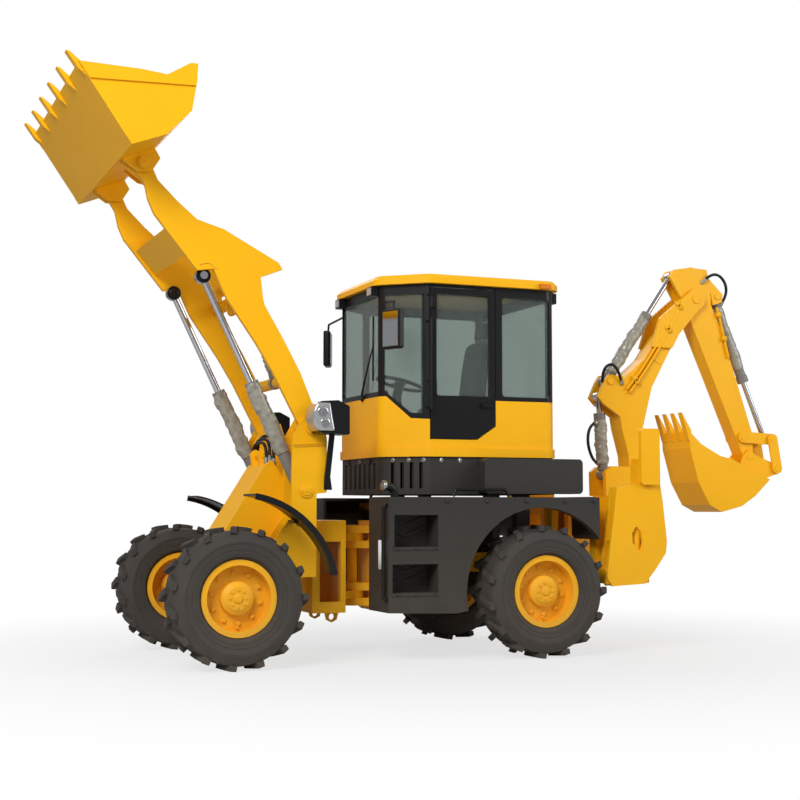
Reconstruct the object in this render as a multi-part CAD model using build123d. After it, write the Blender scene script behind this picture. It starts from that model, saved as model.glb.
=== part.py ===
"""Articulated backhoe loader: front loader raised, backhoe folded, parked on its four wheels.

Millimetres, X forward, Y left, Z up. Every shape is drawn about the articulation hinge (x = 0) and
moved by HINGE_X on export, so that the origin lies on the ground under the middle of the machine.
"""
from math import atan2, cos, degrees, hypot, radians, sin
import os

from build123d import *

# driving dimensions of the whole machine
HINGE_X = 815
WHEELBASE = 2470
FRONT_AXLE_X = WHEELBASE / 2
REAR_AXLE_X = -WHEELBASE / 2
FIT = 0.3
PLATE = 30

# wheels
TYRE_R = 515
TYRE_W = 360
TREAD_DEPTH = 32
LUG_COUNT = 15
LUG_W = 58
RIM_SEAT_R = 252
RIM_FLANGE_R = 279
RIM_FLANGE_W = 14
WHEEL_Y = 890
HUB_R = 120
STUB_R = 60
AXLE_R = 85
AXLE_FLANGE_R = 140
AXLE_FLANGE_Y = 640
DIFF_R = 185

# front frame, towers and nose
FRAME_HALF = 360
TOWER_IN = 395
TOWER_OUT = 600
NOSE_HALF = 250
NOSE_SETBACK = 70
ARM_PIVOT = (560, 1780)
ARM_PIN_R = 40
LIFT_BASE = (600, 1290)

# loader arms, bucket and tilt linkage
ARM_IN = 545
ARM_T = 45
BUCKET_HINGE = (1880, 3715)
BUCKET_PIN_R = 32
LIFT_EYE = (1390, 2915)
LIFT_Y = 485
LIFT_BORE_R = 48
LIFT_ROD_R = 27
LIFT_BARREL = 925
LIFT_INNER = 801
BUCKET_HALF = 1100
BUCKET_PLATE = 22
ROCKER_PIVOT = (1000, 2810)
ROCKER_LINK_R = 140
ROCKER_LINK_ANGLE = 166
ROCKER_ROD_R = 160
ROCKER_ROD_ANGLE = 190
TILT_BASE = (700, 2150)
TILT_Y = 132
TILT_BARREL = 460
TILT_INNER = 195
TILT_BORE_R = 42
TILT_ROD_R = 24

# articulation hinge
HINGE_PIN_R = 42
HINGE_LUG_R = 95
HINGE_LEVELS = (470, 930)
HINGE_LUG_H = 60

# cab and bodywork
CAB_FRONT_X = -60
CAB_FRONT_HALF = 450
CAB_SIDE_X = -385
CAB_HALF = 720
CAB_REAR_X = -1500
CAB_WALL = 40
CAB_CORNER_R = 90
SKIRT_Z = (1270, 1565)
ROOF_Z = 2930
ROOF_T = 75
DOOR_X = (-955, -385)
DOOR_Z = (1700, 2905)
DOOR_GAP = 6
DOOR_HINGE_Y = CAB_HALF + 12
DOOR_HINGE_Z = (2060, 2740)
SIDE_LEDGE = 245
SIDE_OUT = CAB_HALF + SIDE_LEDGE
SIDE_IN = 545
SIDE_FRONT_X = 60
SIDE_REAR_X = REAR_AXLE_X - TYRE_R
SIDE_Z = (375, 1247)
ARCH_R = 650

# backhoe, drawn with its swing pin at SWING_X and moved to its setback behind the rear axle
SWING_X = -2290
SWING_SETBACK = 1055
HOE_SHIFT = REAR_AXLE_X - SWING_SETBACK - SWING_X
SWING_PIN_R = 45
BOOM_PIVOT = (-2600, 1430)
DIPPER_PIVOT = (-3250, 3040)
HOE_BUCKET_PIVOT = (-3800, 1630)
GUIDE_PIVOT = (-3740, 1805)
KNUCKLE = (-4040, 1790)
HOE_BUCKET_LUG = (-4085, 1525)
BOOM_CYL_EYE = (-2300, 2140)
BOOM_CYL_BASE = (-2340, 1455)
DIPPER_CYL_EYE = (-3050, 3242)
DIPPER_CYL_BASE = (-2365, 2270)
BUCKET_CYL_BASE = (-3500, 3080)
HOE_PIN_R = 28
HOE_BORE_R = 45
HOE_ROD_R = 24
BOOM_HALF = 95
BOOM_FORK = 86
DIPPER_HALF = 80
HOE_BUCKET_HALF = 225

# stabilizers
LEG_PIVOT_Y = 790
LEG_PIVOT_Z = 620
LEG_IN = 860
LEG_OUT = 985

# tie-down eyes
TIE_EYE_R = 25
TIE_EYE_REAR = (-2000, 505)
TIE_EYE_FRONT = (250, 305)


def xz_face(points, radius=0):
    """Flat face in the XZ plane through the given (x, z) corners, every corner rounded."""
    face = make_face(Polyline(*[(x, z) for x, z in points], close=True))
    if radius:
        face = fillet(face.vertices(), radius)
    return face


def side_plate(points, y0, y1, radius=0):
    """Profile in side view, carried across the machine from y0 to y1."""
    return Pos(0, y1, 0) * (Plane.XZ * extrude(xz_face(points, radius), amount=y1 - y0))


def plan_plate(points, z0, z1, radius=0):
    """Profile in plan view, carried upwards from z0 to z1."""
    return Pos(0, 0, z0) * extrude(xz_face(points, radius), amount=z1 - z0)


def block(x0, x1, y0, y1, z0, z1):
    """Rectangular block between two corners."""
    return Pos((x0 + x1) / 2, (y0 + y1) / 2, (z0 + z1) / 2) * Box(x1 - x0, y1 - y0, z1 - z0)


def cross_pin(point, radius, y0, y1):
    """Round bar across the machine at an (x, z) point, from y0 to y1."""
    plane = Plane(origin=(point[0], y0, point[1]), z_dir=(0, 1, 0))
    return plane * extrude(Circle(radius), amount=y1 - y0)


def bar(start, end, radius):
    """Round bar between two points in space."""
    line = Vector(*end) - Vector(*start)
    plane = Plane(origin=start, z_dir=line)
    return plane * extrude(Circle(radius), amount=line.length)


def offset(point, angle, distance):
    """Point at a distance from another in side view, at an angle in degrees above the X axis."""
    return (point[0] + distance * cos(radians(angle)), point[1] + distance * sin(radians(angle)))


def heading(start, end):
    """Angle in degrees of the line between two side-view points, and its length."""
    dx, dz = end[0] - start[0], end[1] - start[1]
    return degrees(atan2(dz, dx)), hypot(dx, dz)


def strap(start, end, r0, r1, y0, y1):
    """Flat link with a round end of its own radius at each pin, in side view."""
    angle, length = heading(start, end)
    lean = degrees(atan2(r0 - r1, length))
    web = [
        offset(start, angle + 90 - lean, r0),
        offset(end, angle + 90 - lean, r1),
        offset(end, angle - 90 + lean, r1),
        offset(start, angle - 90 + lean, r0),
    ]
    body = side_plate(web, y0, y1)
    return body + cross_pin(start, r0, y0, y1) + cross_pin(end, r1, y0, y1)


def mirrored(shape):
    """The shape and its twin on the other side of the machine."""
    return [shape, mirror(shape, about=Plane.XZ)]


def both_sides(shape):
    """The shape fused with its twin on the other side of the machine."""
    left, right = mirrored(shape)
    return left + right


def write(node, *pieces, shift=0):
    """Move the pieces from the hinge's frame to the machine's origin and write them as one node."""
    moved = [Pos(HINGE_X + shift, 0, 0) * piece for piece in pieces]
    shape = moved[0] if len(moved) == 1 else Compound(children=moved)
    export_step(shape, f"parts/{node}.step")


def tyre(x, side):
    """Tyre with a ring of slanted shoulder lugs on each half of the tread."""
    base_r = TYRE_R - TREAD_DEPTH
    half = TYRE_W / 2
    profile = Polyline(
        (RIM_SEAT_R, half - 50), (RIM_FLANGE_R, half - 50), (RIM_FLANGE_R + 25, half - 12),
        (base_r - 75, half),
        (base_r - 12, half - 22), (base_r, half - 60), (base_r, 60 - half), (base_r - 12, 22 - half),
        (base_r - 75, -half), (RIM_FLANGE_R + 25, 12 - half), (RIM_FLANGE_R, 50 - half),
        (RIM_SEAT_R, 50 - half),
        close=True)
    carcass = Plane.XY * revolve(make_face(profile), Axis.Y)
    lug_face = make_face(Polyline(
        (-LUG_W / 2, 8), (LUG_W / 2 - 10, 8), (LUG_W / 2 + 52, half - 4), (62 - LUG_W / 2, half - 4),
        close=True))
    lug = Pos(0, 0, base_r - 14) * extrude(lug_face, amount=TREAD_DEPTH + 40)
    envelope = Plane.XZ * Pos(0, 0, -half) * extrude(Circle(TYRE_R), amount=TYRE_W)
    step = 360 / LUG_COUNT
    lugs = []
    for index in range(LUG_COUNT):
        lugs.append(Rot(0, index * step, 0) * lug)
        lugs.append(Rot(0, (index + 0.5) * step, 0) * mirror(lug, about=Plane.XZ))
    whole = carcass + [piece & envelope for piece in lugs]
    return Pos(x, side * WHEEL_Y, TYRE_R) * whole


def rim(x, side):
    """Deep-dished steel rim with a planetary hub dome, bored for the axle's stub."""
    half = TYRE_W / 2 - 50
    lip = half + RIM_FLANGE_W
    well = 14
    profile = Polyline(
        (RIM_SEAT_R, -half), (RIM_FLANGE_R, -half), (RIM_FLANGE_R, -lip), (RIM_SEAT_R - well, -lip),
        (RIM_SEAT_R - well, 10), (HUB_R + 20, 26), (HUB_R, -(WHEEL_Y - AXLE_FLANGE_Y - 1)),
        (STUB_R + FIT, -(WHEEL_Y - AXLE_FLANGE_Y - 1)), (STUB_R + FIT, 60), (0, 60), (0, 118), (82, 118),
        (HUB_R, 96), (HUB_R + 6, 46), (RIM_SEAT_R - well, 34), (RIM_SEAT_R - well, lip),
        (RIM_FLANGE_R, lip),
        (RIM_FLANGE_R, half), (RIM_SEAT_R, half), close=True)
    body = revolve(make_face(profile), Axis.Y)
    if side < 0:
        body = mirror(body, about=Plane.XZ)
    return Pos(x, side * WHEEL_Y, TYRE_R) * body


def axle(x, name):
    """Driven axle: beam, differential, end flanges and the stubs that carry the wheels."""
    profile = Polyline(
        (0, 0), (DIFF_R, 0), (DIFF_R - 25, 70), (AXLE_R + 20, 190), (AXLE_R, 330),
        (AXLE_R, AXLE_FLANGE_Y - 45),
        (AXLE_FLANGE_R, AXLE_FLANGE_Y - 45), (AXLE_FLANGE_R, AXLE_FLANGE_Y),
        (STUB_R, AXLE_FLANGE_Y), (STUB_R, WHEEL_Y + 40), (0, WHEEL_Y + 40), close=True)
    half_axle = revolve(make_face(profile), Axis.Y)
    beam = both_sides(half_axle)
    nose_x = DIFF_R + 60
    pinion = bar((-nose_x, 0, 0), (nose_x, 0, 0), 62)
    pads = both_sides(block(-90, 90, 230, 330, 0, AXLE_R + 45))
    write(name, Pos(x, 0, TYRE_R) * (beam + pinion + pads))


def wheels():
    """Four wheels, each a tyre on its rim."""
    for end, x in (("front", FRONT_AXLE_X), ("rear", REAR_AXLE_X)):
        for name, side in (("left", 1), ("right", -1)):
            write(f"{end}_{name}_tyre", tyre(x, side))
            write(f"{end}_{name}_rim", rim(x, side))
        axle(x, f"{end}_axle")


def hinge_lugs(levels, reach, thickness):
    """Horizontal lugs round the articulation pin, reaching back to x = reach."""
    lugs = []
    for z0 in levels:
        lug = plan_plate([(0, -HINGE_LUG_R), (reach, -170), (reach, 170), (0, HINGE_LUG_R)], z0,
            z0 + thickness)
        lugs.append(lug + Pos(0, 0, z0) * extrude(Circle(HINGE_LUG_R), amount=thickness))
    return lugs


def tie_eye(centre, y):
    """Tie-down eye: a rounded plate that hangs below a frame, bored across the machine."""
    x, z = centre
    plate = side_plate([(x - 62, z + 60), (x + 62, z + 60), (x + 40, z - 24), (x, z - 44),
        (x - 40, z - 24)], y, y + PLATE)
    return plate - cross_pin(centre, TIE_EYE_R, y - 1, y + PLATE + 1)


def front_frame():
    """Tapered nose box, axle saddle, rear box with side windows, and the front half of the hinge."""
    tip = FRONT_AXLE_X - NOSE_SETBACK
    wall = tip - 45
    nose = side_plate([(812, 1500), (tip, 940), (tip, 656), (430, 430), (430, 1040), (591, 1300),
        (761, 1535)],
                      -NOSE_HALF, NOSE_HALF)
    nose -= side_plate([(790, 1462), (wall, 935), (wall, 700), (480, 500), (480, 1020), (640, 1290),
        (761, 1460)],
                       PLATE - NOSE_HALF, NOSE_HALF - PLATE)
    rear_box = plan_plate([(460, -FRAME_HALF), (185, -FRAME_HALF), (115, -100), (115, 100),
        (185, FRAME_HALF),
                           (460, FRAME_HALF)], 345, 1065)
    hollow = plan_plate([(440, 60 - FRAME_HALF), (215, 60 - FRAME_HALF), (150, -70), (150, 70),
                         (215, FRAME_HALF - 60), (440, FRAME_HALF - 60)], 375, 1035)
    window = block(225, 400, -FRAME_HALF - 1, FRAME_HALF + 1, 430, 900)
    rear_box -= hollow + window
    saddle = block(FRONT_AXLE_X - 110, FRONT_AXLE_X + 110, -345, 345, TYRE_R + AXLE_R + 45, 720)
    saddle += side_plate([(tip - 165, 720), (tip - 165, 800), (tip, 900), (tip, 656), (tip - 65, 656)],
                         -NOSE_HALF, NOSE_HALF)
    eye = tie_eye(TIE_EYE_FRONT, 190)
    boss = both_sides(side_plate([(720, 1480), (740, 1610), (800, 1630), (838, 1590), (815, 1480)], 90,
        120, 12))
    boss += cross_pin((775, 1580), 30, -150, 150)
    upper, lower = HINGE_LEVELS[1], HINGE_LEVELS[0]
    lugs = hinge_lugs((lower - 30, upper - 30), 120, HINGE_LUG_H)
    frame = nose + rear_box + both_sides(eye) + saddle + boss + lugs
    frame -= Pos(0, 0, 300) * extrude(Circle(HINGE_PIN_R + FIT), amount=900)
    frame -= cross_pin((FRONT_AXLE_X, TYRE_R), DIFF_R + 12, -205, 205)
    write("front_frame", frame)


def loader_towers():
    """Twin-plate tower on each side of the nose, with the arm's pin and the lift cylinder's base pin."""
    outline = [(520, 700), (520, 1270), (439, 1280), (439, 1700), (490, 1860), (620, 1860), (712, 1700),
        (720, 1100),
               (860, 900), (860, 640)]
    tower = side_plate(outline, TOWER_OUT, TOWER_OUT + PLATE) + side_plate(outline, TOWER_IN,
        TOWER_IN + PLATE)
    back_web = block(439, 439 + PLATE, TOWER_IN, TOWER_OUT + PLATE, 1280, 1640)
    low_web = block(520, 520 + PLATE, TOWER_IN, TOWER_OUT + PLATE, 700, 1150)
    foot = block(520, 860, NOSE_HALF, TOWER_OUT + PLATE, 640, 700)
    cap = side_plate([(439, 1655), (712, 1640), (712, 1655), (439, 1670)], TOWER_OUT, TOWER_OUT + PLATE + 8)
    cheek = block(520, 660, NOSE_HALF, TOWER_IN, 700, 1100)
    arm_pin = cross_pin(ARM_PIVOT, ARM_PIN_R, TOWER_IN, TOWER_OUT + PLATE + 12)
    base_pin = cross_pin(LIFT_BASE, ARM_PIN_R, TOWER_IN, TOWER_OUT + PLATE)
    write("loader_towers", *mirrored(tower + back_web + low_web + foot + cap + cheek + arm_pin + base_pin))


def front_fenders():
    """Black front mudguards, concentric with the wheels and narrowing towards the rear tip."""
    radius, thick = 760, 14
    ring = Plane.XZ * extrude(Circle(radius) - Circle(radius - thick), amount=-(1030 - 700))
    ring = Pos(FRONT_AXLE_X, 700, TYRE_R) * ring
    window = side_plate([(FRONT_AXLE_X, TYRE_R), offset((FRONT_AXLE_X, TYRE_R), 99, 1500),
                         offset((FRONT_AXLE_X, TYRE_R), 135, 1500),
                         offset((FRONT_AXLE_X, TYRE_R), 168, 1500)],
                        600, 1100)
    inner, tail = FRONT_AXLE_X - 545, FRONT_AXLE_X - 805
    taper = plan_plate([(inner, 690), (inner, 740), (tail, 880), (tail, 690)], 400, 1300)
    edge = Plane.XZ * extrude(Circle(radius + 4) - Circle(radius - 42), amount=-14)
    edge = Pos(FRONT_AXLE_X, 1018, TYRE_R) * edge
    guard = ((ring - taper) + edge) & window
    bracket = block(min(690, inner), max(750, inner + 60), TOWER_OUT + PLATE, 790, 1050, 1072)
    fender = guard + bracket
    write("front_fenders", *mirrored(fender))


def headlamps():
    """Headlamps on slanted stalks beside the towers."""
    stalk = side_plate([(405, 1300), (450, 1300), (465, 1390), (425, 1720), (385, 1720), (420, 1400)],
                       TOWER_OUT + PLATE + 8, TOWER_OUT + PLATE + 30)
    stalk += block(442, 463, TOWER_OUT + PLATE, TOWER_OUT + PLATE + 10, 1305, 1380)
    shell = side_plate([(330, 1715), (560, 1725), (610, 1850), (560, 1965), (420, 1975), (330, 1930)],
                       TOWER_OUT + PLATE + 16, TOWER_OUT + PLATE + 215, 14)
    lens = side_plate([(560, 1735), (610, 1850), (566, 1955), (548, 1955), (592, 1850), (542, 1735)],
                      TOWER_OUT + PLATE + 30, TOWER_OUT + PLATE + 201)
    write("headlamps", *mirrored(stalk + shell + Pos(12, 0, 0) * lens))


def cylinder_barrel(base, eye, length, bore_r, y, pin_r):
    """Hydraulic barrel with a base eye, gland collar and a blind bore for its rod, in side view."""
    angle, _ = heading(base, eye)
    start = offset(base, angle, pin_r + 12)
    end = offset(base, angle, length)
    neck = offset(base, angle, length - 60)
    body = bar((start[0], y, start[1]), (end[0], y, end[1]), bore_r)
    body += bar((neck[0], y, neck[1]), (end[0], y, end[1]), bore_r + 7)
    body += cross_pin(base, pin_r + 22, y - bore_r * 0.7, y + bore_r * 0.7)
    return body - cross_pin(base, pin_r + FIT, y - bore_r, y + bore_r), angle


def cylinder_rod(base, eye, inner, rod_r, y, eye_r, half):
    """Piston rod with a closed eye, reaching down its barrel's bore to a distance from the base pin."""
    angle, _ = heading(base, eye)
    start = offset(base, angle, inner)
    rod = bar((start[0], y, start[1]), (eye[0], y, eye[1]), rod_r)
    rod += cross_pin(eye, eye_r, y - half, y + half)
    return rod


def rod_bore(base, eye, length, rod_r, y):
    """Hollow in a barrel that its rod slides in."""
    angle, _ = heading(base, eye)
    start = offset(base, angle, 95)
    end = offset(base, angle, length + 1)
    return bar((start[0], y, start[1]), (end[0], y, end[1]), rod_r + FIT)


ARM_OUTLINE = [
    (1838, 3762), (1763, 3600), (1612, 3452), (1461, 3326), (1254, 3266), (820, 3036), (788, 2986),
    (963, 2917),
    (937, 2718), (762, 2420), (638, 2189), (480, 1810), (560, 1700), (638, 1775), (859, 2193), (994, 2411),
    (1224, 2738), (1272, 2836), (1330, 2960), (1457, 2942), (1630, 3154), (1786, 3345), (1834, 3451),
    (1862, 3575),
    (1938, 3690),
]


def loader_arm():
    """Twin cranked arm plates joined by a box cross member, rocker shaft stubs and a tilt-cylinder tube."""
    plate = side_plate(ARM_OUTLINE, ARM_IN, ARM_IN + ARM_T)
    plate += cross_pin(ARM_PIVOT, 82, TOWER_IN + PLATE + 5, TOWER_OUT - 5)
    plate += cross_pin(BUCKET_HINGE, 62, ARM_IN, ARM_IN + ARM_T)
    plate -= cross_pin(ARM_PIVOT, ARM_PIN_R + FIT, 0, 700)
    plate -= cross_pin(BUCKET_HINGE, BUCKET_PIN_R + FIT, 0, 700)
    hump = side_plate([(836, 3020), (800, 2985), (930, 2935), (960, 3000)], ARM_IN - 60, ARM_IN)
    stub = cross_pin(ROCKER_PIVOT, 30, 64, ARM_IN)
    stub += cross_pin(ROCKER_PIVOT, 48, 170, ARM_IN)
    box = side_plate([(1530, 3065), (1690, 3255), (1590, 3345), (1430, 3155)], -ARM_IN, ARM_IN)
    box -= side_plate([(1532, 3087), (1668, 3250), (1592, 3322), (1452, 3158)], -ARM_IN + 1, ARM_IN - 1)
    tube = cross_pin(TILT_BASE, 46, -ARM_IN, ARM_IN)
    tube -= cross_pin(TILT_BASE, 60, TILT_Y - TILT_BORE_R - 12, TILT_Y + TILT_BORE_R + 12)
    core = cross_pin(TILT_BASE, 28, TILT_Y - TILT_BORE_R - 14, TILT_Y + TILT_BORE_R + 14)
    arm = both_sides(plate + hump + stub)
    write("loader_arm", arm + box + tube + core)


BUCKET_OUTLINE = [
    (2445, 4278), (2011, 4268), (1819, 4250), (1647, 4356), (1590, 4358), (1604, 4192), (1633, 4009),
    (1809, 3822),
    (2064, 3722),
]
TOOTH_COUNT = 6


def loader_bucket():
    """Open bucket: folded floor and back, side plates with wear bands, teeth and hinge lugs."""
    body = side_plate(BUCKET_OUTLINE, -BUCKET_HALF, BUCKET_HALF)
    body -= side_plate([(2441, 4312), (2058, 3754), (1822, 3846), (1657, 4020), (1628, 4200), (1614, 4400),
                        (2441, 4400)], BUCKET_PLATE - BUCKET_HALF, BUCKET_HALF - BUCKET_PLATE)
    band = side_plate([(2445, 4278), (2366, 4166), (1604, 4192), (1598, 4262), (1819, 4250), (2011, 4268)],
                      BUCKET_HALF, BUCKET_HALF + 14)
    heel = side_plate([(2064, 3722), (1960, 3763), (2020, 3830), (2100, 3775)], BUCKET_HALF,
        BUCKET_HALF + 8)
    body += both_sides(band + heel)
    tooth = side_plate([(2428, 4288), (2382, 4186), (2442, 4232), (2530, 4354), (2508, 4350)], -36, 36)
    pitch = (2 * BUCKET_HALF - 110) / (TOOTH_COUNT - 1)
    for index in range(TOOTH_COUNT):
        body += Pos(0, 55 - BUCKET_HALF + index * pitch, 0) * tooth
    lug = [(2046, 3729), (1800, 3832), (1755, 3755), (1820, 3650), (1925, 3650)]
    lugs = side_plate(lug, ARM_IN - 43, ARM_IN - 6, 14) + side_plate(lug, ARM_IN + ARM_T + 6,
        ARM_IN + ARM_T + 43, 14)
    lugs += cross_pin(BUCKET_HINGE, BUCKET_PIN_R, ARM_IN - 46, ARM_IN + ARM_T + 50)
    eye = offset(BUCKET_HINGE, ROCKER_LINK_ANGLE, ROCKER_LINK_R)
    ear = side_plate([(1900, 3790), (1700, 3945), (eye[0] - 52, eye[1] + 6), (eye[0] - 20, eye[1] - 50),
                      (eye[0] + 40, eye[1] - 40)], 36, 62, 10)
    ear -= cross_pin(eye, 26 + FIT, 0, 100)
    inside = side_plate([(2441, 4312), (2058, 3754), (1822, 3846), (1657, 4020), (1628, 4200), (1614, 4400),
                         (2441, 4400)], BUCKET_PLATE - BUCKET_HALF, BUCKET_HALF - BUCKET_PLATE)
    body += both_sides((lugs + ear) - inside)
    write("loader_bucket", body)


def tilt_linkage():
    """Bell-crank rocker on the arms and the link to the bucket, a parallelogram with the bucket's hinge."""
    link_pin = offset(ROCKER_PIVOT, ROCKER_LINK_ANGLE, ROCKER_LINK_R)
    rod_pin = offset(ROCKER_PIVOT, ROCKER_ROD_ANGLE, ROCKER_ROD_R)
    brace = offset(ROCKER_PIVOT, -80, 85)
    plate = strap(ROCKER_PIVOT, link_pin, 62, 48, 36, 60) + strap(ROCKER_PIVOT, brace, 62, 34, 36, 60)
    plate -= cross_pin(link_pin, 26 + FIT, 0, 100)
    plates = both_sides(plate)
    lever = strap(ROCKER_PIVOT, rod_pin, 62, 44, 84, 106) + strap(ROCKER_PIVOT, brace, 62, 34, 84, 106)
    rocker = plates + lever + cross_pin(brace, 26, -60, 106) + cross_pin(ROCKER_PIVOT, 52, 60, 84)
    rocker -= cross_pin(ROCKER_PIVOT, 30 + FIT, -200, 200)
    write("tilt_rocker", rocker)
    bucket_pin = offset(BUCKET_HINGE, ROCKER_LINK_ANGLE, ROCKER_LINK_R)
    link = strap(link_pin, bucket_pin, 40, 40, -30, 30)
    link += cross_pin(link_pin, 26, -61, 61) + cross_pin(bucket_pin, 26, -63, 63)
    write("tilt_link", link)
    barrel, _ = cylinder_barrel(TILT_BASE, rod_pin, TILT_BARREL, TILT_BORE_R, TILT_Y, 28)
    barrel -= rod_bore(TILT_BASE, rod_pin, TILT_BARREL, TILT_ROD_R, TILT_Y)
    write("tilt_barrel", barrel)
    write("tilt_rod", cylinder_rod(TILT_BASE, rod_pin, TILT_INNER, TILT_ROD_R, TILT_Y, 40, 17))


def lift_cylinders():
    """Pair of lift cylinders, barrels pinned low in the towers, rod eyes beside the arms."""
    barrel, _ = cylinder_barrel(LIFT_BASE, LIFT_EYE, LIFT_BARREL, LIFT_BORE_R, LIFT_Y, ARM_PIN_R)
    barrel -= rod_bore(LIFT_BASE, LIFT_EYE, LIFT_BARREL, LIFT_ROD_R, LIFT_Y)
    write("lift_barrels", *mirrored(barrel))
    rod = cylinder_rod(LIFT_BASE, LIFT_EYE, LIFT_INNER, LIFT_ROD_R, LIFT_Y, 58, 30)
    rod += cross_pin(LIFT_EYE, 30, LIFT_Y, ARM_IN - 6)
    write("lift_rods", *mirrored(rod))


def rear_frame():
    """Ladder frame behind the hinge: hinge head, two beams, cross members and body outriggers."""
    head = plan_plate([(-330, -380), (-192, -380), (-115, -100), (-115, 100), (-192, 380), (-330, 380)],
        345, 1060)
    head -= plan_plate([(-331, -300), (-200, -300), (-175, 300), (-331, 300)], 400, 1000)
    frame = head
    for level in HINGE_LEVELS:
        below = level - 30 - 60.5
        above = level + 30.5
        for lug in hinge_lugs((below, above), -130, 60):
            frame += lug
    pin = Pos(0, 0, HINGE_LEVELS[0] - 95) * extrude(
        Circle(HINGE_PIN_R), amount=HINGE_LEVELS[1] - HINGE_LEVELS[0] + 190)
    frame += pin
    beam = block(REAR_AXLE_X - 615, -300, 240, 330, TYRE_R + AXLE_R + 45, 800)
    posts = []
    for x in (-470, REAR_AXLE_X - 480):
        posts.append(block(x, x + 60, 240, 330, 780, 1210))
        posts.append(block(x, x + 60, 320, SIDE_OUT - 25, 1150, 1210))
    frame += both_sides(beam + posts)
    for x in (-520, REAR_AXLE_X - 525):
        frame += block(x, x + 70, -330, 330, 660, 780)
    write("rear_frame", frame)
    engine = block(-1160, -560, -215, 215, 800, 1215) + block(-1100, -620, -150, 150, 710, 800)
    engine += both_sides(block(-700, -640, 215, 290, 800, 840) + block(-1080, -1020, 215, 290, 800, 840))
    write("engine_block", engine)


STEP_POCKETS = [
    # x0, x1, z0, z1
    (-345, 15, 868, 1110),
    (-345, 30, 522, 738),
]


def side_body():
    """Side tank and mudguard shell with two step pockets and the rear wheel's arch."""
    front, rear, (low, top), wall = SIDE_FRONT_X, SIDE_REAR_X, SIDE_Z, 25
    hub = (REAR_AXLE_X, TYRE_R)
    outline = side_plate([(front, low), (front, top), (rear, top), (rear, 620),
        (REAR_AXLE_X + 730, low - 15)], SIDE_IN, SIDE_OUT)
    inner = side_plate([(front - wall, low - 60), (front - wall, top - wall), (rear + wall, top - wall),
                        (rear + wall, 500), (REAR_AXLE_X + 730, low - 90)], SIDE_IN - 1, SIDE_OUT - wall)
    body = outline - inner
    lip = cross_pin(hub, ARCH_R + 30, SIDE_OUT - 70, SIDE_OUT) & outline
    body = body + lip - cross_pin(hub, ARCH_R, SIDE_IN - 1, SIDE_OUT + 1)
    for x0, x1, z0, z1 in STEP_POCKETS:
        body += block(x0 - 12, x1 + 12, 730, SIDE_OUT - 5, z0 - 12, z1 + 12)
        body -= block(x0, x1, 742, SIDE_OUT + 1, z0, z1)
        body += block(x0 - 8, x1 + 8, SIDE_OUT - 30, SIDE_OUT + 6, z0 - 22, z0)
        tread = []
        for rise in (0.30, 0.62):
            z = z0 + rise * (z1 - z0)
            mid = (x0 + x1) / 2
            tread.append(side_plate([(x0 + 20, z + 60), (mid, z), (x1 - 20, z + 60), (x1 - 20, z + 85),
                (mid, z + 25),
                                     (x0 + 20, z + 85)], 741, 756))
        body += tread
    for node, shape in zip(("left_side_body", "right_side_body"), mirrored(body)):
        write(node, shape)


def cab_plan(grow=0):
    """Plan of the cab: narrow front, slanted quarter panels, straight sides; grown outwards evenly."""
    slant = grow * 0.45
    return [(CAB_FRONT_X + grow, -CAB_FRONT_HALF - slant), (CAB_FRONT_X + grow, CAB_FRONT_HALF + slant),
            (CAB_SIDE_X + slant, CAB_HALF + grow), (CAB_REAR_X - grow, CAB_HALF + grow),
            (CAB_REAR_X - grow, -CAB_HALF - grow), (CAB_SIDE_X + slant, -CAB_HALF - grow)]


def cab_ring(z0, z1, outer=0, wall=CAB_WALL):
    """Wall that follows the cab's plan between two heights."""
    rounding = CAB_CORNER_R + outer
    inside = plan_plate(cab_plan(outer - wall), z0 - 1, z1 + 1, rounding - wall)
    return plan_plate(cab_plan(outer), z0, z1, rounding) - inside


def cab_windows():
    """Prisms through the walls, one for each window."""
    inside, out = CAB_HALF - 70, CAB_HALF + 50
    quarter = side_plate([(-96, 2085), (-262, 1912), (-345, 1902), (-345, 2850), (-96, 2850)],
        CAB_FRONT_HALF - 20, out)
    rear_side = side_plate([(-1012, 2050), (-1440, 2050), (-1440, 2850), (-1012, 2850)], inside, out, 30)
    windows = {
        "windshield": block(-130, 30, 28 - CAB_FRONT_HALF, CAB_FRONT_HALF - 28, 2085, 2850),
        "rear": block(CAB_REAR_X - 70, CAB_REAR_X + 60, 120 - CAB_HALF, CAB_HALF - 120, 2060, 2850),
        "right_side": side_plate([(-410, 1902), (-930, 1902), (-930, 2850), (-410, 2850)], -out, -inside,
        30),
    }
    for name, prism in (("quarter", quarter), ("rear_side", rear_side)):
        windows["left_" + name], windows["right_" + name] = mirrored(prism)
    return windows


def door_outline(gap):
    """Door in side view, its lower rear corner cut off, shrunk by a gap."""
    x0, x1, z0, z1 = DOOR_X[0] + gap, DOOR_X[1] - gap, DOOR_Z[0] + gap, DOOR_Z[1] - gap
    return [(x1, z0), (x1, z1), (x0, z1), (x0, z0 + 110), (x0 + 165, z0)]


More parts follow.
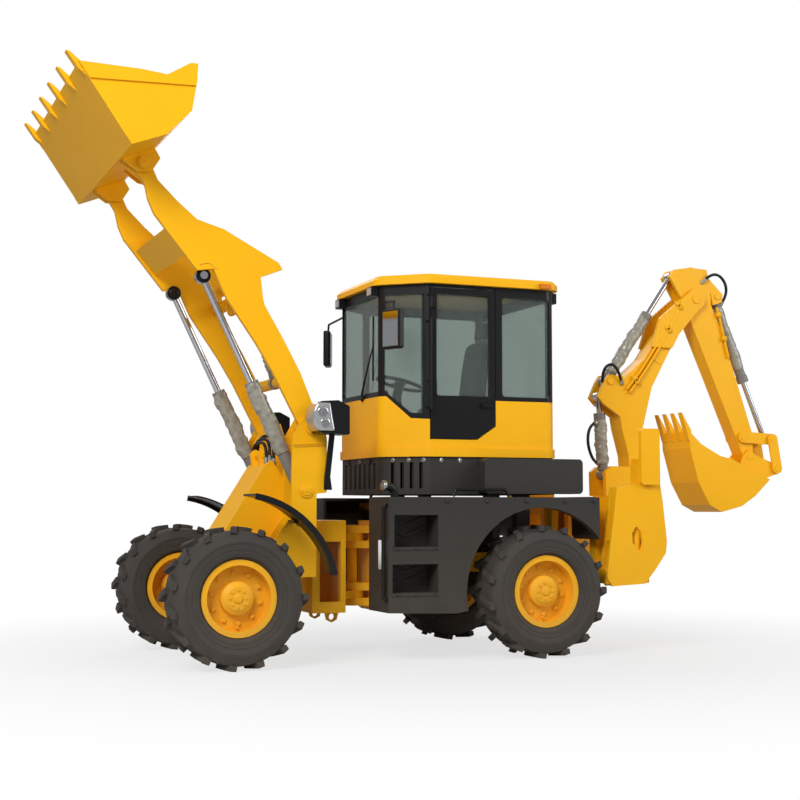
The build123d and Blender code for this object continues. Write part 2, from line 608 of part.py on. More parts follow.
def cab():
    """Hollow cab: floor and skirt, yellow lower shell, dark pillar frame, glass, roof and the left door."""
    low = side_plate([(60, 1500), (60, 2045), (-105, 2045), (-262, 1868), (-385, 1858), (-950, 1858),
        (-950, 2015),
                      (-1600, 2015), (-1600, 1500)], -CAB_HALF - 180, CAB_HALF + 180)
    opening = side_plate(door_outline(0), CAB_HALF - 80, CAB_HALF + 80)
    wall = cab_ring(SKIRT_Z[1], ROOF_Z)
    floor = plan_plate(cab_plan(-CAB_WALL), SKIRT_Z[1], SKIRT_Z[1] + 25, CAB_CORNER_R - CAB_WALL)
    lip = cab_ring(SKIRT_Z[1], SKIRT_Z[1] + 70, 14, 30)
    write("cab_shell", (wall & low) + floor + lip - opening)
    frame = wall - low - opening
    pane_ring = cab_ring(SKIRT_Z[1], ROOF_Z, -16, 8)
    panes = []
    for prism in cab_windows().values():
        frame -= prism
        panes.append(pane_ring & prism)
    for z in DOOR_HINGE_Z:
        frame += block(-383, -365, CAB_HALF - 20, DOOR_HINGE_Y + 11, z + 95, z + 107)
        frame += block(-396, -365, CAB_HALF + 7, DOOR_HINGE_Y + 11, z + 95, z + 107)
        frame += Pos(DOOR_X[1] - 2, DOOR_HINGE_Y, z - 6) * extrude(Circle(6), amount=110)
    write("cab_frame", frame)
    write("cab_glass", *panes)
    roof = plan_plate(cab_plan(45), ROOF_Z, ROOF_Z + ROOF_T, CAB_CORNER_R + 45)
    roof = chamfer(roof.faces().sort_by(Axis.Z)[-1].edges(), 34)
    write("cab_roof", roof)
    door = side_plate(door_outline(DOOR_GAP), CAB_HALF - CAB_WALL, CAB_HALF)
    x0, x1 = DOOR_X
    pane = [(x1 - 55, 2045), (x1 - 55, 2850), (x0 + 55, 2850), (x0 + 55, 2045)]
    door -= side_plate(pane, CAB_HALF - 120, CAB_HALF + 80, 24)
    hinges = [cross for z in DOOR_HINGE_Z for cross in
              [Pos(DOOR_X[1] - 2, DOOR_HINGE_Y, z) * extrude(Circle(11), amount=90),
               block(DOOR_X[1] - 50, DOOR_X[1] - 6, CAB_HALF - 5, DOOR_HINGE_Y + 6, z, z + 90)]]
    bores = [Pos(DOOR_X[1] - 2, DOOR_HINGE_Y, z) * extrude(Circle(6 + FIT),
        amount=90) for z in DOOR_HINGE_Z]
    grip = block(x0 + 60, x0 + 130, CAB_HALF, CAB_HALF + 26, 1960, 1992)
    write("cab_door", door + hinges + grip - bores)
    write("cab_door_glass", side_plate(pane, CAB_HALF - 26, CAB_HALF - 18, 24))


def cab_skirt():
    """Dark skirt under the cab with front louvres, and a rounded tank box behind it on each side."""
    skirt = cab_ring(SKIRT_Z[0], SKIRT_Z[1], -6, 30)
    for index in range(7):
        y = -330 + index * 110
        skirt -= block(-130, 0, y - 22, y + 22, SKIRT_Z[0] + 45, SKIRT_Z[1] - 45)
    for index in range(4):
        x = -150 - index * 60
        skirt -= both_sides(block(x - 12, x + 12, CAB_FRONT_HALF - 10, CAB_HALF + 80, SKIRT_Z[0] + 45,
            SKIRT_Z[1] - 45))
    box = block(-1660, -790, CAB_HALF - 6, CAB_HALF + 140, SKIRT_Z[0] + 4, SKIRT_Z[1] - 12)
    box = fillet(box.edges().filter_by(Axis.Y), 36)
    floor = block(-1490, -420, 30 - CAB_HALF, CAB_HALF - 30, SKIRT_Z[0], SKIRT_Z[0] + 20)
    mounts = block(-1450, -1330, 240, 330, 800, SKIRT_Z[0]) + block(-560, -480, 240, 330, 800, SKIRT_Z[0])
    write("cab_skirt", skirt + both_sides(box) + floor + both_sides(mounts))


def cab_inside():
    """Seat with backrest, and the steering column, wheel and levers."""
    cushion = fillet(block(-1080, -640, -230, 230, 1900, 2020).edges(), 30)
    back = side_plate([(-1000, 2000), (-1110, 2000), (-1200, 2560), (-1110, 2580)], -220, 220, 20)
    base = block(-1020, -700, -170, 170, SKIRT_Z[1] + 25, 1905)
    head = side_plate([(-1125, 2590), (-1205, 2580), (-1225, 2720), (-1160, 2730)], -120, 120, 16)
    stalk = bar((-1160, 0, 2540), (-1175, 0, 2640), 14)
    write("seat", cushion + back + base + head + stalk)
    column = bar((-250, 0, SKIRT_Z[1] + 40), (-420, 0, 2190), 38)
    console = side_plate([(-140, SKIRT_Z[1] + 25), (-140, 2060), (-240, 2120), (-330, SKIRT_Z[1] + 25)],
        -180, 180)
    tilt = Plane(origin=(-420, 0, 2190), z_dir=(-0.27, 0, 1))
    wheel = tilt * Torus(190, 15) + tilt * extrude(Rectangle(30, 370),
        amount=14) + tilt * extrude(Circle(45), amount=20)
    lever = bar((-560, 300, 1740), (-540, 300, 2150), 12) + Pos(-540, 300, 2160) * Sphere(26)
    levers = mirrored(lever + block(-640, -480, 240, 360, SKIRT_Z[1] + 25, 1760))
    write("controls", column + console + wheel, *levers)


def cab_fittings():
    """Mirrors on arms, work lamps with the beacon, and grab rails."""
    arm = bar((-105, 440, 2800), (-60, 770, 2760), 9) + bar((-60, 770, 2760), (-50, 775, 2640), 9)
    arm -= plan_plate(cab_plan(), 2500, 2900, CAB_CORNER_R)
    head = Pos(-50, 775, 2545) * Rot(0, 0, 24) * Box(60, 190, 310)
    mirror_head = fillet(head.edges(), 18)
    write("mirrors", *mirrored(arm + mirror_head))
    front = block(-58, 0, 330, 430, 2848, 2925) + block(-56, -40, 350, 410, 2900, ROOF_Z)
    rear = block(CAB_REAR_X - 60, CAB_REAR_X, 520, 620, 2840, 2925)
    beacon = block(-1420, -1330, CAB_HALF + 45, CAB_HALF + 63, 2935, 2968)
    write("cab_lamps", *mirrored(front), *mirrored(rear), beacon)
    y = CAB_HALF + 55
    rail = bar((-365, y, 1930), (-365, y, 2650), 13)
    for z in (1950, 2630):
        rail += bar((-365, y, z), (-365, CAB_HALF - 30, z), 10)
    rail -= plan_plate(cab_plan(), 1900, 2700, CAB_CORNER_R)
    top = SIDE_Z[1]
    rails = [rail]
    for y in (SIDE_OUT - 65, 65 - SIDE_OUT):
        hoop = bar((-500, y, top + 6), (-525, y, top + 58), 12) + bar((-525, y, top + 58),
            (-950, y, top + 58), 12)
        hoop += bar((-950, y, top + 58), (-975, y, top + 6), 12)
        rails.append(hoop + Pos(-525, y, top + 58) * Sphere(12) + Pos(-950, y, top + 58) * Sphere(12))
    write("handrails", *rails)


def hoe_mainframe():
    """Rear mainframe: transverse box with open bays, kingpin lugs and the stabilizer pivots."""
    frame = block(-2150, -1850, -722, 722, 560, 1255)
    for side in (-1, 1):
        y0, y1 = sorted((side * 250, side * 620))
        frame -= block(-2151, -1849, y0, y1, 700, 1110)
    frame -= block(-2100, -1800, -190, 190, 640, 1200)
    frame -= both_sides(block(-2151, -1849, 650, 723, 559, 645))
    for z0 in (580, 1195):
        lug = plan_plate([(-2150, -160), (-2150, 160), (SWING_X, 95), (SWING_X, -95)], z0, z0 + 60)
        frame += lug + Pos(SWING_X, 0, z0) * extrude(Circle(95), amount=60)
    frame += Pos(SWING_X, 0, 570) * extrude(Circle(SWING_PIN_R), amount=700)
    ears = []
    for x0 in (-2140, -1920):
        ears.append(block(x0, x0 + 50, 700, LEG_PIVOT_Y, LEG_PIVOT_Z - 18, LEG_PIVOT_Z + 130))
        ears.append(bar((x0, LEG_PIVOT_Y, LEG_PIVOT_Z), (x0 + 50, LEG_PIVOT_Y, LEG_PIVOT_Z), 58))
    ear = ears[0] + ears[1:] + bar((-2205, LEG_PIVOT_Y, LEG_PIVOT_Z), (-1795, LEG_PIVOT_Y, LEG_PIVOT_Z), 28)
    ear += tie_eye(TIE_EYE_REAR, 400)
    write("hoe_mainframe", frame + both_sides(ear), shift=HOE_SHIFT)


def stabilizer():
    """Folded-up stabilizer leg of two cheek plates and a tie box, with a ground pad at its far end."""
    outline = [(-1800, 610), (-1900, 1330), (-2105, 1360), (-2105, 1560), (-2270, 1560), (-2325, 1211),
        (-2360, 896),
               (-2349, 799), (-2253, 671), (-2150, 555), (-1850, 540)]
    cheek = side_plate(outline, LEG_IN, LEG_IN + 28) + side_plate(outline, LEG_OUT - 28, LEG_OUT)
    spine = side_plate([(-1860, 900), (-1900, 1330), (-2100, 1360), (-2100, 1520), (-2250, 1520),
        (-2300, 1180)],
                       LEG_IN, LEG_OUT)
    lens = side_plate([(-2075, 1020), (-2035, 960), (-2040, 880), (-2110, 810), (-2135, 880), (-2120, 970)],
                      LEG_OUT - 40, LEG_OUT + 1, 12)
    leg = cheek + spine - lens
    for x0, x1 in ((-2200, -2155), (-1845, -1800)):
        knuckle = bar((x0, LEG_PIVOT_Y, LEG_PIVOT_Z), (x1, LEG_PIVOT_Y, LEG_PIVOT_Z), 60)
        knuckle += block(x0, x1, LEG_PIVOT_Y, LEG_OUT - 20, LEG_PIVOT_Z - 60, LEG_PIVOT_Z + 60)
        leg += knuckle - bar((x0 - 1, LEG_PIVOT_Y, LEG_PIVOT_Z), (x1 + 1, LEG_PIVOT_Y, LEG_PIVOT_Z),
            28 + FIT)
    pad = block(-2280, -2105, LEG_OUT, LEG_OUT + 38, 1350, 1805)
    pad = fillet(pad.edges().filter_by(Axis.Y), 30)
    ribs = block(-2225, -2205, LEG_OUT - 80, LEG_OUT + 2, 1540, 1760) + block(-2180, -2160, LEG_OUT - 80,
        LEG_OUT + 2, 1540, 1760)
    ram = bar((-2080, 922, 640), (-2120, 922, 1240), 42)
    for node, shape in zip(("left_stabilizer", "right_stabilizer"), mirrored(leg + pad + ribs + ram)):
        write(node, shape, shift=HOE_SHIFT)


def swing_post():
    """Swing post: hub round the kingpin, and cheeks that carry the boom's foot and cylinder."""
    post = Pos(SWING_X, 0, 645) * extrude(Circle(95), amount=545)
    post += block(-2450, SWING_X, -90, 90, 660, 1175)
    cheek = side_plate([(-2400, 690), (-2400, 1262), (-2285, 1270), (-2280, 1480), (-2340, 1525),
        (-2640, 1520),
                        (-2690, 1430), (-2640, 1340), (-2450, 1150), (-2450, 690)], 101, 150)
    post += both_sides(cheek) + block(-2450, -2390, -150, 150, 690, 1150)
    post += cross_pin(BOOM_PIVOT, 36, -160, 160) + cross_pin(BOOM_CYL_BASE, HOE_PIN_R, -120, 120)
    post -= Pos(SWING_X, 0, 500) * extrude(Circle(SWING_PIN_R + FIT), amount=900)
    write("swing_post", post, shift=HOE_SHIFT)


def hoe_boom():
    """Cranked boom: box body with a foot, front ears for two cylinders and a fork for the dipper."""
    body = side_plate([(-2560, 1390), (-2545, 1620), (-2480, 1858), (-2455, 2010), (-2490, 2290),
        (-2721, 2480),
                       (-2860, 2690), (-2950, 2770), (-3064, 2714), (-2989, 2585), (-2787, 2230),
                       (-2690, 1865),
                       (-2670, 1400)], -BOOM_HALF, BOOM_HALF)
    body += cross_pin(BOOM_PIVOT, 74, -BOOM_HALF, BOOM_HALF)
    ear = side_plate([(-2470, 1960), (-2300, 2070), (-2245, 2130), (-2310, 2270), (-2350, 2330),
        (-2500, 2320)],
                     58, BOOM_HALF)
    fork = side_plate([(-2780, 2590), (-2869, 2851), (-3205, 3118), (-3325, 3080), (-3325, 3000),
        (-3064, 2714),
                       (-2989, 2585)], BOOM_FORK, BOOM_FORK + 34)
    fork += cross_pin(DIPPER_PIVOT, 92, BOOM_FORK, BOOM_FORK + 34)
    boom = body + both_sides(ear + fork)
    boom += cross_pin(DIPPER_PIVOT, 40, -BOOM_FORK - 44, BOOM_FORK + 44)
    boom += cross_pin(DIPPER_CYL_BASE, HOE_PIN_R, -110, 110)
    boom -= cross_pin(BOOM_PIVOT, 36 + FIT, -200, 200)
    write("hoe_boom", boom, shift=HOE_SHIFT)


def hoe_dipper():
    """Dipper: tapered box with a lever for its cylinder at the top and ears for the bucket's cylinder."""
    body = side_plate([(-3170, 3130), (-3200, 3330), (-3390, 3320), (-3425, 3155), (-3430, 3000),
        (-3520, 2820), (-3850, 1850),
                       (-3860, 1640), (-3790, 1575), (-3738, 1660), (-3240, 2780), (-3165, 2960)],
                      -DIPPER_HALF, DIPPER_HALF)
    lever = side_plate([(-3240, 3335), (-3045, 3300), (-2998, 3235), (-3030, 3190), (-3170, 2960),
        (-3250, 2990)],
                       46, DIPPER_HALF)
    ears = side_plate([(-3400, 3250), (-3560, 3100), (-3545, 3030), (-3455, 3000)], 48, DIPPER_HALF)
    dipper = body + both_sides(lever + ears)
    dipper -= cross_pin(DIPPER_PIVOT, 40 + FIT, -200, 200)
    dipper -= cross_pin(HOE_BUCKET_PIVOT, 30 + FIT, -200, 200)
    dipper += cross_pin(BUCKET_CYL_BASE, HOE_PIN_R, -90, 90)
    dipper += both_sides(cross_pin(GUIDE_PIVOT, HOE_PIN_R, DIPPER_HALF - 2, DIPPER_HALF + 34))
    write("hoe_dipper", dipper, shift=HOE_SHIFT)


HOE_TOOTH_COUNT = 4


def hoe_bucket():
    """Digging bucket: curved shell between side plates, ears for the linkage, and teeth on the lip."""
    outline = [(-3086, 1842), (-3092, 1690), (-3176, 1390), (-3290, 1190), (-3417, 1128), (-3630, 1181),
               (-3771, 1271), (-3935, 1420), (-3700, 1520), (-3532, 1600), (-3406, 1625), (-3208, 1729)]
    cavity = side_plate([(-3106, 1900), (-3112, 1690), (-3195, 1396), (-3303, 1207), (-3417, 1148),
        (-3622, 1199),
                         (-3760, 1287), (-3878, 1405), (-3690, 1500), (-3545, 1574), (-3400, 1700),
                         (-3200, 1850)],
                        18 - HOE_BUCKET_HALF, HOE_BUCKET_HALF - 18)
    body = side_plate(outline, -HOE_BUCKET_HALF, HOE_BUCKET_HALF) - cavity
    ear = side_plate([(-3690, 1508), (-3740, 1640), (-3800, 1695), (-3870, 1640), (-4050, 1575),
        (-4085, 1470),
                      (-3930, 1420)], 88, 110)
    ear += cross_pin(HOE_BUCKET_LUG, 55, 88, 110)
    body += both_sides(ear) + cross_pin(HOE_BUCKET_PIVOT, 30, -116, 116)
    tooth = side_plate([(-3084, 1760), (-3112, 1770), (-3106, 1850), (-3010, 2005), (-3058, 1850)], -32, 32)
    pitch = (2 * HOE_BUCKET_HALF - 64) / (HOE_TOOTH_COUNT - 1)
    for index in range(HOE_TOOTH_COUNT):
        body += Pos(0, 32 - HOE_BUCKET_HALF + index * pitch, 0) * tooth
    write("hoe_bucket", body, shift=HOE_SHIFT)
    guide = strap(GUIDE_PIVOT, KNUCKLE, 50, 50, DIPPER_HALF + 6, DIPPER_HALF + 28)
    guide -= cross_pin(GUIDE_PIVOT, HOE_PIN_R + FIT, 0, 200)
    guide += cross_pin(KNUCKLE, HOE_PIN_R, 40, 140)
    write("hoe_guide_links", *mirrored(guide), shift=HOE_SHIFT)
    push = strap(KNUCKLE, HOE_BUCKET_LUG, 48, 48, 116, 136) + cross_pin(HOE_BUCKET_LUG, 26, 116, 142)
    push -= cross_pin(KNUCKLE, HOE_PIN_R + FIT, 0, 200)
    write("hoe_push_links", *mirrored(push), shift=HOE_SHIFT)


HOE_CYLINDERS = [
    # node, base pin, rod eye, barrel length, inner end of the rod from the base pin
    ("boom", BOOM_CYL_BASE, BOOM_CYL_EYE, 540, 100),
    ("dipper", DIPPER_CYL_BASE, DIPPER_CYL_EYE, 760, 415),
    ("hoe_bucket", BUCKET_CYL_BASE, KNUCKLE, 830, 505),
]


def hoe_cylinders():
    """Boom, dipper and bucket cylinders of the backhoe."""
    for name, base, eye, length, inner in HOE_CYLINDERS:
        barrel, _ = cylinder_barrel(base, eye, length, HOE_BORE_R, 0, HOE_PIN_R)
        write(f"{name}_barrel", barrel - rod_bore(base, eye, length, HOE_ROD_R, 0), shift=HOE_SHIFT)
        write(f"{name}_rod", cylinder_rod(base, eye, inner, HOE_ROD_R, 0, 42, 33), shift=HOE_SHIFT)


def main():
    """Build every node of the machine."""
    os.makedirs("parts", exist_ok=True)
    wheels()
    front_frame()
    loader_towers()
    front_fenders()
    headlamps()
    loader_arm()
    loader_bucket()
    tilt_linkage()
    lift_cylinders()
    rear_frame()
    side_body()
    cab()
    cab_skirt()
    cab_inside()
    cab_fittings()
    hoe_mainframe()
    stabilizer()
    swing_post()
    hoe_boom()
    hoe_dipper()
    hoe_bucket()
    hoe_cylinders()


main()
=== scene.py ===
"""Looks of an articulated backhoe loader: finishes, hoses, fasteners, trim, seat and studio.

Metres, X forward, Y left, Z up, with the origin on the ground under the middle of the machine.
"""

from math import cos, pi, radians, sin

import bmesh
import bpy
import numpy as np
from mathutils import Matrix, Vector


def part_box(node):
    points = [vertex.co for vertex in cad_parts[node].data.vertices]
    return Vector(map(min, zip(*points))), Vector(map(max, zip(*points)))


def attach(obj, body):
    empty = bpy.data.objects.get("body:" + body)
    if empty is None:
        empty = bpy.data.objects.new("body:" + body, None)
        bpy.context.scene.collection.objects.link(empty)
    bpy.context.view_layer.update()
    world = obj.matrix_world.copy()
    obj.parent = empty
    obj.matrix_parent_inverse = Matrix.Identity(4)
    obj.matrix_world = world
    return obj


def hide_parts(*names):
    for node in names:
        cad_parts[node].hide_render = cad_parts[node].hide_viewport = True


bl_info = {
    "name": "Backhoe Loader Dressing",
    "version": (1, 0, 0),
    "blender": (4, 5, 0),
    "location": "View3D > Sidebar > Loader",
    "description": "Finishes, hoses, fasteners, trim and studio for an articulated backhoe loader",
    "category": "Object",
}

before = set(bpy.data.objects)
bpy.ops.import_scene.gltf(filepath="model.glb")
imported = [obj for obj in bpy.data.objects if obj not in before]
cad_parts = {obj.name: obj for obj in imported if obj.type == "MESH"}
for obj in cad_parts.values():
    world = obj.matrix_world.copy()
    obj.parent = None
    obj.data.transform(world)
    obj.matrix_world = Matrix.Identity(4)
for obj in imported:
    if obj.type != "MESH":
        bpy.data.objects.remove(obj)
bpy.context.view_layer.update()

HINGE_X = 0.815
CAMERA_PLACE = (4.9044, 11.1758, 1.1591)
CAMERA_YAW = 0.3835
CAMERA_PITCH = 0.0744
WHEELS = ("front_left", "front_right", "rear_left", "rear_right")
SIDES = (("left", 1), ("right", -1))
# wheel seats across the wheel, from its middle plane
RIM_MIDDLE = -0.0525
NUT_SEAT = 0.040
HUB_FACE = 0.118
NUT_CIRCLE = 0.182
# radius and distance from the tyre's middle plane of each moulded ring, and the ring's own radius
SIDEWALL_RINGS = ((0.322, 0.1695), (0.352, 0.1730), (0.398, 0.1785))
SIDEWALL_BEAD = 0.0035
WHEEL_NUTS = 10
HUB_BOLTS = 8
HUB_BOLT_CIRCLE = 0.062
# film round a cylinder: sections along it, points round it, ripples, and inner wall's share of the radius
WRAP_RINGS = 90
WRAP_AROUND = 40
WRAP_RIPPLES = 8
WRAP_INNER = 0.8
PANE_TRANSMISSION = 0.9
LENS_GLOSS = 0.12
CUSHION_AROUND = 48
CUSHION_RINGS = 25
BELLOWS_FOLDS = 12
BELLOWS_AROUND = 32
# studio: half width of the floor, strength of the sky, point that the lamps face
FLOOR_SPAN = 60.0
SKY_STRENGTH = 0.34
LAMP_AIM = (0, 0, 1.6)


class LoaderColours(bpy.types.PropertyGroup):
    """Colours of the machine's finishes."""

    yellow: bpy.props.FloatVectorProperty(
        name="Yellow Paint", description="Paint on frames, arms, cab shell and backhoe",
        subtype="COLOR", size=3, min=0, max=1, default=(0.92, 0.455, 0.006))
    rim_yellow: bpy.props.FloatVectorProperty(
        name="Rim Paint", description="Paint on the wheel rims",
        subtype="COLOR", size=3, min=0, max=1, default=(0.90, 0.43, 0.006))
    charcoal: bpy.props.FloatVectorProperty(
        name="Charcoal Paint", description="Textured paint on the side bodies and the cab skirt",
        subtype="COLOR", size=3, min=0, max=1, default=(0.036, 0.033, 0.029))
    black: bpy.props.FloatVectorProperty(
        name="Black Trim", description="Black paint and plastic on pillars, fenders and rails",
        subtype="COLOR", size=3, min=0, max=1, default=(0.010, 0.010, 0.011))
    rubber: bpy.props.FloatVectorProperty(
        name="Tyre Rubber", description="Dusty rubber of the tyres",
        subtype="COLOR", size=3, min=0, max=1, default=(0.034, 0.030, 0.027))
    wrap: bpy.props.FloatVectorProperty(
        name="Cylinder Wrap", description="Crinkled film round the cylinder barrels",
        subtype="COLOR", size=3, min=0, max=1, default=(0.23, 0.215, 0.175))
    glass: bpy.props.FloatVectorProperty(
        name="Cab Glass", description="Grey-green tint of the cab panes",
        subtype="COLOR", size=3, min=0, max=1, default=(0.45, 0.51, 0.48))


class LoaderSizes(bpy.types.PropertyGroup):
    """Sizes of the dressing pieces."""

    hose_radius: bpy.props.FloatProperty(
        name="Hose Radius", description="Radius of a pressure hose", unit="LENGTH",
        default=0.013, min=0.004, max=0.03)
    pipe_radius: bpy.props.FloatProperty(
        name="Pipe Radius", description="Radius of a steel oil pipe", unit="LENGTH",
        default=0.011, min=0.004, max=0.03)
    bolt_radius: bpy.props.FloatProperty(
        name="Bolt Radius", description="Across-corner radius of a body bolt's head", unit="LENGTH",
        default=0.013, min=0.004, max=0.03)


def colours():
    """The colour settings of the scene."""
    return bpy.context.scene.loader_colours


def sizes():
    """The size settings of the scene."""
    return bpy.context.scene.loader_sizes


def at(x, y, z):
    """A point given in millimetres about the articulation hinge, in metres of the shared frame."""
    return (x / 1000 + HINGE_X, y / 1000, z / 1000)


def points(*rows):
    """Points given in millimetres about the hinge, as an array in the shared frame."""
    return np.array([at(*row) for row in rows])


def finish(name):
    """A finish made earlier, by name."""
    return bpy.data.materials[name]


def new_mesh(name, verts, faces, paint, body, smooth=True, slot=None):
    """Puts computed vertices and faces, with a named finish, into a mesh object that rides on a body."""
    mesh = bpy.data.meshes.new(name)
    mesh.from_pydata(np.asarray(verts, float).reshape(-1, 3).tolist(), [],
                     [list(map(int, f)) for f in faces])
    mesh.polygons.foreach_set("use_smooth", np.full(len(mesh.polygons), smooth))
    mesh.materials.append(finish(paint))
    mesh.update()
    piece = bpy.data.objects.new(name, mesh)
    bpy.context.scene.collection.objects.link(piece)
    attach(piece, body)
    return piece


def grid_faces(rows, cols, close_rows=False, close_cols=False):
    """Quads of a rows by cols grid of vertices, wrapped round in either direction if asked."""
    i = np.arange(rows if close_rows else rows - 1)
    j = np.arange(cols if close_cols else cols - 1)
    i, j = np.meshgrid(i, j, indexing="ij")
    a = i * cols + j
    b = i * cols + (j + 1) % cols
    c = ((i + 1) % rows) * cols + (j + 1) % cols
    d = ((i + 1) % rows) * cols + j
    return np.stack([a, b, c, d], -1).reshape(-1, 4)


def capped_faces(rows, around):
    """Quads of a tube of rows rings with a flat cap at each end."""
    last = (rows - 1) * around
    faces = [list(f) for f in grid_faces(rows, around, close_cols=True)]
    return faces + [list(range(around))[::-1], list(range(last, last + around))]


def smooth_path(corners, steps):
    """Curve through all corners: between two of them a cubic with end slopes of half the neighbours' span."""
    p = np.asarray(corners, float)
    q = np.vstack([2 * p[0] - p[1], p, 2 * p[-1] - p[-2]])
    t = np.linspace(0, 1, steps, endpoint=False)[:, None]
    parts = []
    for k in range(1, len(q) - 2):
        a, b, c, d = q[k - 1:k + 3]
        parts.append(0.5 * (2 * b + (c - a) * t + (2 * a - 5 * b + 4 * c - d) * t ** 2
                            + (3 * b - a - 3 * c + d) * t ** 3))
    return np.vstack(parts + [p[-1:]])


def path_frames(path):
    """Two unit vectors across a path at each point, carried along it without twisting."""
    ahead = np.gradient(path, axis=0)
    ahead /= np.linalg.norm(ahead, axis=1)[:, None]
    side = np.zeros_like(path)
    seed = np.array([0, 0, 1.0]) if abs(ahead[0, 2]) < 0.9 else np.array([0, 1.0, 0])
    for k, direction in enumerate(ahead):
        seed = seed - direction * (seed @ direction)
        seed /= np.linalg.norm(seed)
        side[k] = seed
    return side, np.cross(ahead, side)


def tube_arrays(path, radius, around=10):
    """Circle of the radius carried along the path, with a flat cap at each end."""
    side, up = path_frames(path)
    turn = np.linspace(0, 2 * pi, around, endpoint=False)
    radius = np.broadcast_to(np.asarray(radius, float), (len(path),))
    ring = (side[:, None] * np.cos(turn)[None, :, None] + up[:, None] * np.sin(turn)[None, :, None])
    verts = path[:, None] + ring * radius[:, None, None]
    return verts.reshape(-1, 3), capped_faces(len(path), around)


def join(shapes):
    """Several (vertices, faces) shapes as one."""
    verts, faces, count = [], [], 0
    for v, f in shapes:
        verts.append(v)
        faces += [[count + k for k in face] for face in f]
        count += len(v)
    return np.vstack(verts), faces


def box_arrays(low, high):
    """Box between two corners."""
    lo, hi = np.minimum(low, high), np.maximum(low, high)
    pick = np.array([[0, 0, 0], [1, 0, 0], [1, 1, 0], [0, 1, 0], [0, 0, 1], [1, 0, 1], [1, 1, 1], [0, 1, 1]])
    faces = [[0, 3, 2, 1], [4, 5, 6, 7], [0, 1, 5, 4], [1, 2, 6, 5], [2, 3, 7, 6], [3, 0, 4, 7]]
    return np.where(pick == 1, hi, lo).astype(float), faces


def lathe_arrays(profile, centre, axis, around=32):
    """Profile of (distance along the axis, radius) pairs turned round the axis through the centre."""
    axis = np.asarray(axis, float) / np.linalg.norm(axis)
    seed = np.array([0, 0, 1.0]) if abs(axis[2]) < 0.9 else np.array([1.0, 0, 0])
    side = np.cross(seed, axis)
    side /= np.linalg.norm(side)
    up = np.cross(axis, side)
    turn = np.linspace(0, 2 * pi, around, endpoint=False)
    ring = side * np.cos(turn)[:, None] + up * np.sin(turn)[:, None]
    profile = np.asarray(profile, float)
    verts = (np.asarray(centre, float) + profile[:, :1, None].transpose(0, 2, 1) * axis
             + profile[:, 1][:, None, None] * ring[None])
    return verts.reshape(-1, 3), capped_faces(len(profile), around)


def bolt_shapes(centres, normal, radius):
    """Hexagon heads on washers: a washer ring and a six-sided head with a bevelled top at every centre."""
    shapes = []
    for centre in centres:
        shapes.append(lathe_arrays([(0, radius * 1.45), (radius * 0.22, radius * 1.45)], centre, normal, 12))
        shapes.append(lathe_arrays([(radius * 0.2, radius), (radius * 0.8, radius),
                                    (radius * 0.95, radius * 0.8)],
                                   centre, normal, 6))
    return shapes


def bolt_circle(count, start):
    """Evenly spaced points on a unit circle in the plane of a wheel, from a starting angle."""
    turn = np.linspace(0, 2 * pi, count, endpoint=False) + start
    return np.stack([np.cos(turn), 0 * turn, np.sin(turn)], -1)


def shader_group(name, inputs, outputs):
    """Empty shader node group with named value inputs and outputs."""
    group = bpy.data.node_groups.new(name, "ShaderNodeTree")
    for label, default in inputs:
        socket = group.interface.new_socket(label, in_out="INPUT", socket_type="NodeSocketFloat")
        socket.default_value = default
    for label in outputs:
        group.interface.new_socket(label, in_out="OUTPUT", socket_type="NodeSocketFloat")
    return group, group.nodes.new("NodeGroupInput"), group.nodes.new("NodeGroupOutput")


def node(tree, kind, links=(), **settings):
    """Adds a node, sets its properties or input defaults, and links (input, output socket) pairs."""
    made = tree.nodes.new(kind)
    for key, value in settings.items():
        label = key.replace("_", " ").title()
        if label in made.inputs:
            made.inputs[label].default_value = value
        else:
            setattr(made, key, value)
    for target, source in links:
        tree.links.new(made.inputs[target], source)
    return made


def math_node(tree, operation, first, second):
    """Math node whose operands are sockets or plain numbers."""
    made = node(tree, "ShaderNodeMath", operation=operation)
    for slot, value in enumerate((first, second)):
        if isinstance(value, (int, float)):
            made.inputs[slot].default_value = value
        else:
            tree.links.new(made.inputs[slot], value)
    return made.outputs[0]


def weathering_group():
    """Broad blotches, fine grain, scuffs and low-lying dust, all from noise on Object coordinates."""
    tree, given, out = shader_group(
        "Weathering", [("Broad Scale", 1.5), ("Grain Scale", 260.0), ("Dust Height", 1.2)],
        ["Broad", "Grain", "Scuff", "Dust"])
    place = node(tree, "ShaderNodeTexCoord").outputs["Object"]
    broad = node(tree, "ShaderNodeTexNoise", [("Vector", place), ("Scale", given.outputs["Broad Scale"])],
                 detail=4.0, roughness=0.6)
    grain = node(tree, "ShaderNodeTexNoise", [("Vector", place), ("Scale", given.outputs["Grain Scale"])],
                 detail=3.0)
    streak = node(tree, "ShaderNodeTexNoise", [("Vector", place)], scale=16.0, detail=8.0, roughness=0.75)
    scuff = node(tree, "ShaderNodeMapRange", [("Value", streak.outputs["Fac"])], clamp=True,
                 from_min=0.62, from_max=0.74)
    level = node(tree, "ShaderNodeSeparateXYZ", [("Vector", place)]).outputs["Z"]
    low = node(tree, "ShaderNodeMapRange", [("Value", level), ("From Max", given.outputs["Dust Height"])],
               clamp=True, to_min=1.0, to_max=0.0)
    cloud = node(tree, "ShaderNodeTexNoise", [("Vector", place)], scale=5.0, detail=6.0, roughness=0.7)
    dust = math_node(tree, "MULTIPLY", low.outputs["Result"], cloud.outputs["Fac"])
    for label, socket in (("Broad", broad.outputs["Fac"]), ("Grain", grain.outputs["Fac"]),
                          ("Scuff", scuff.outputs["Result"]), ("Dust", dust)):
        tree.links.new(out.inputs[label], socket)
    return tree


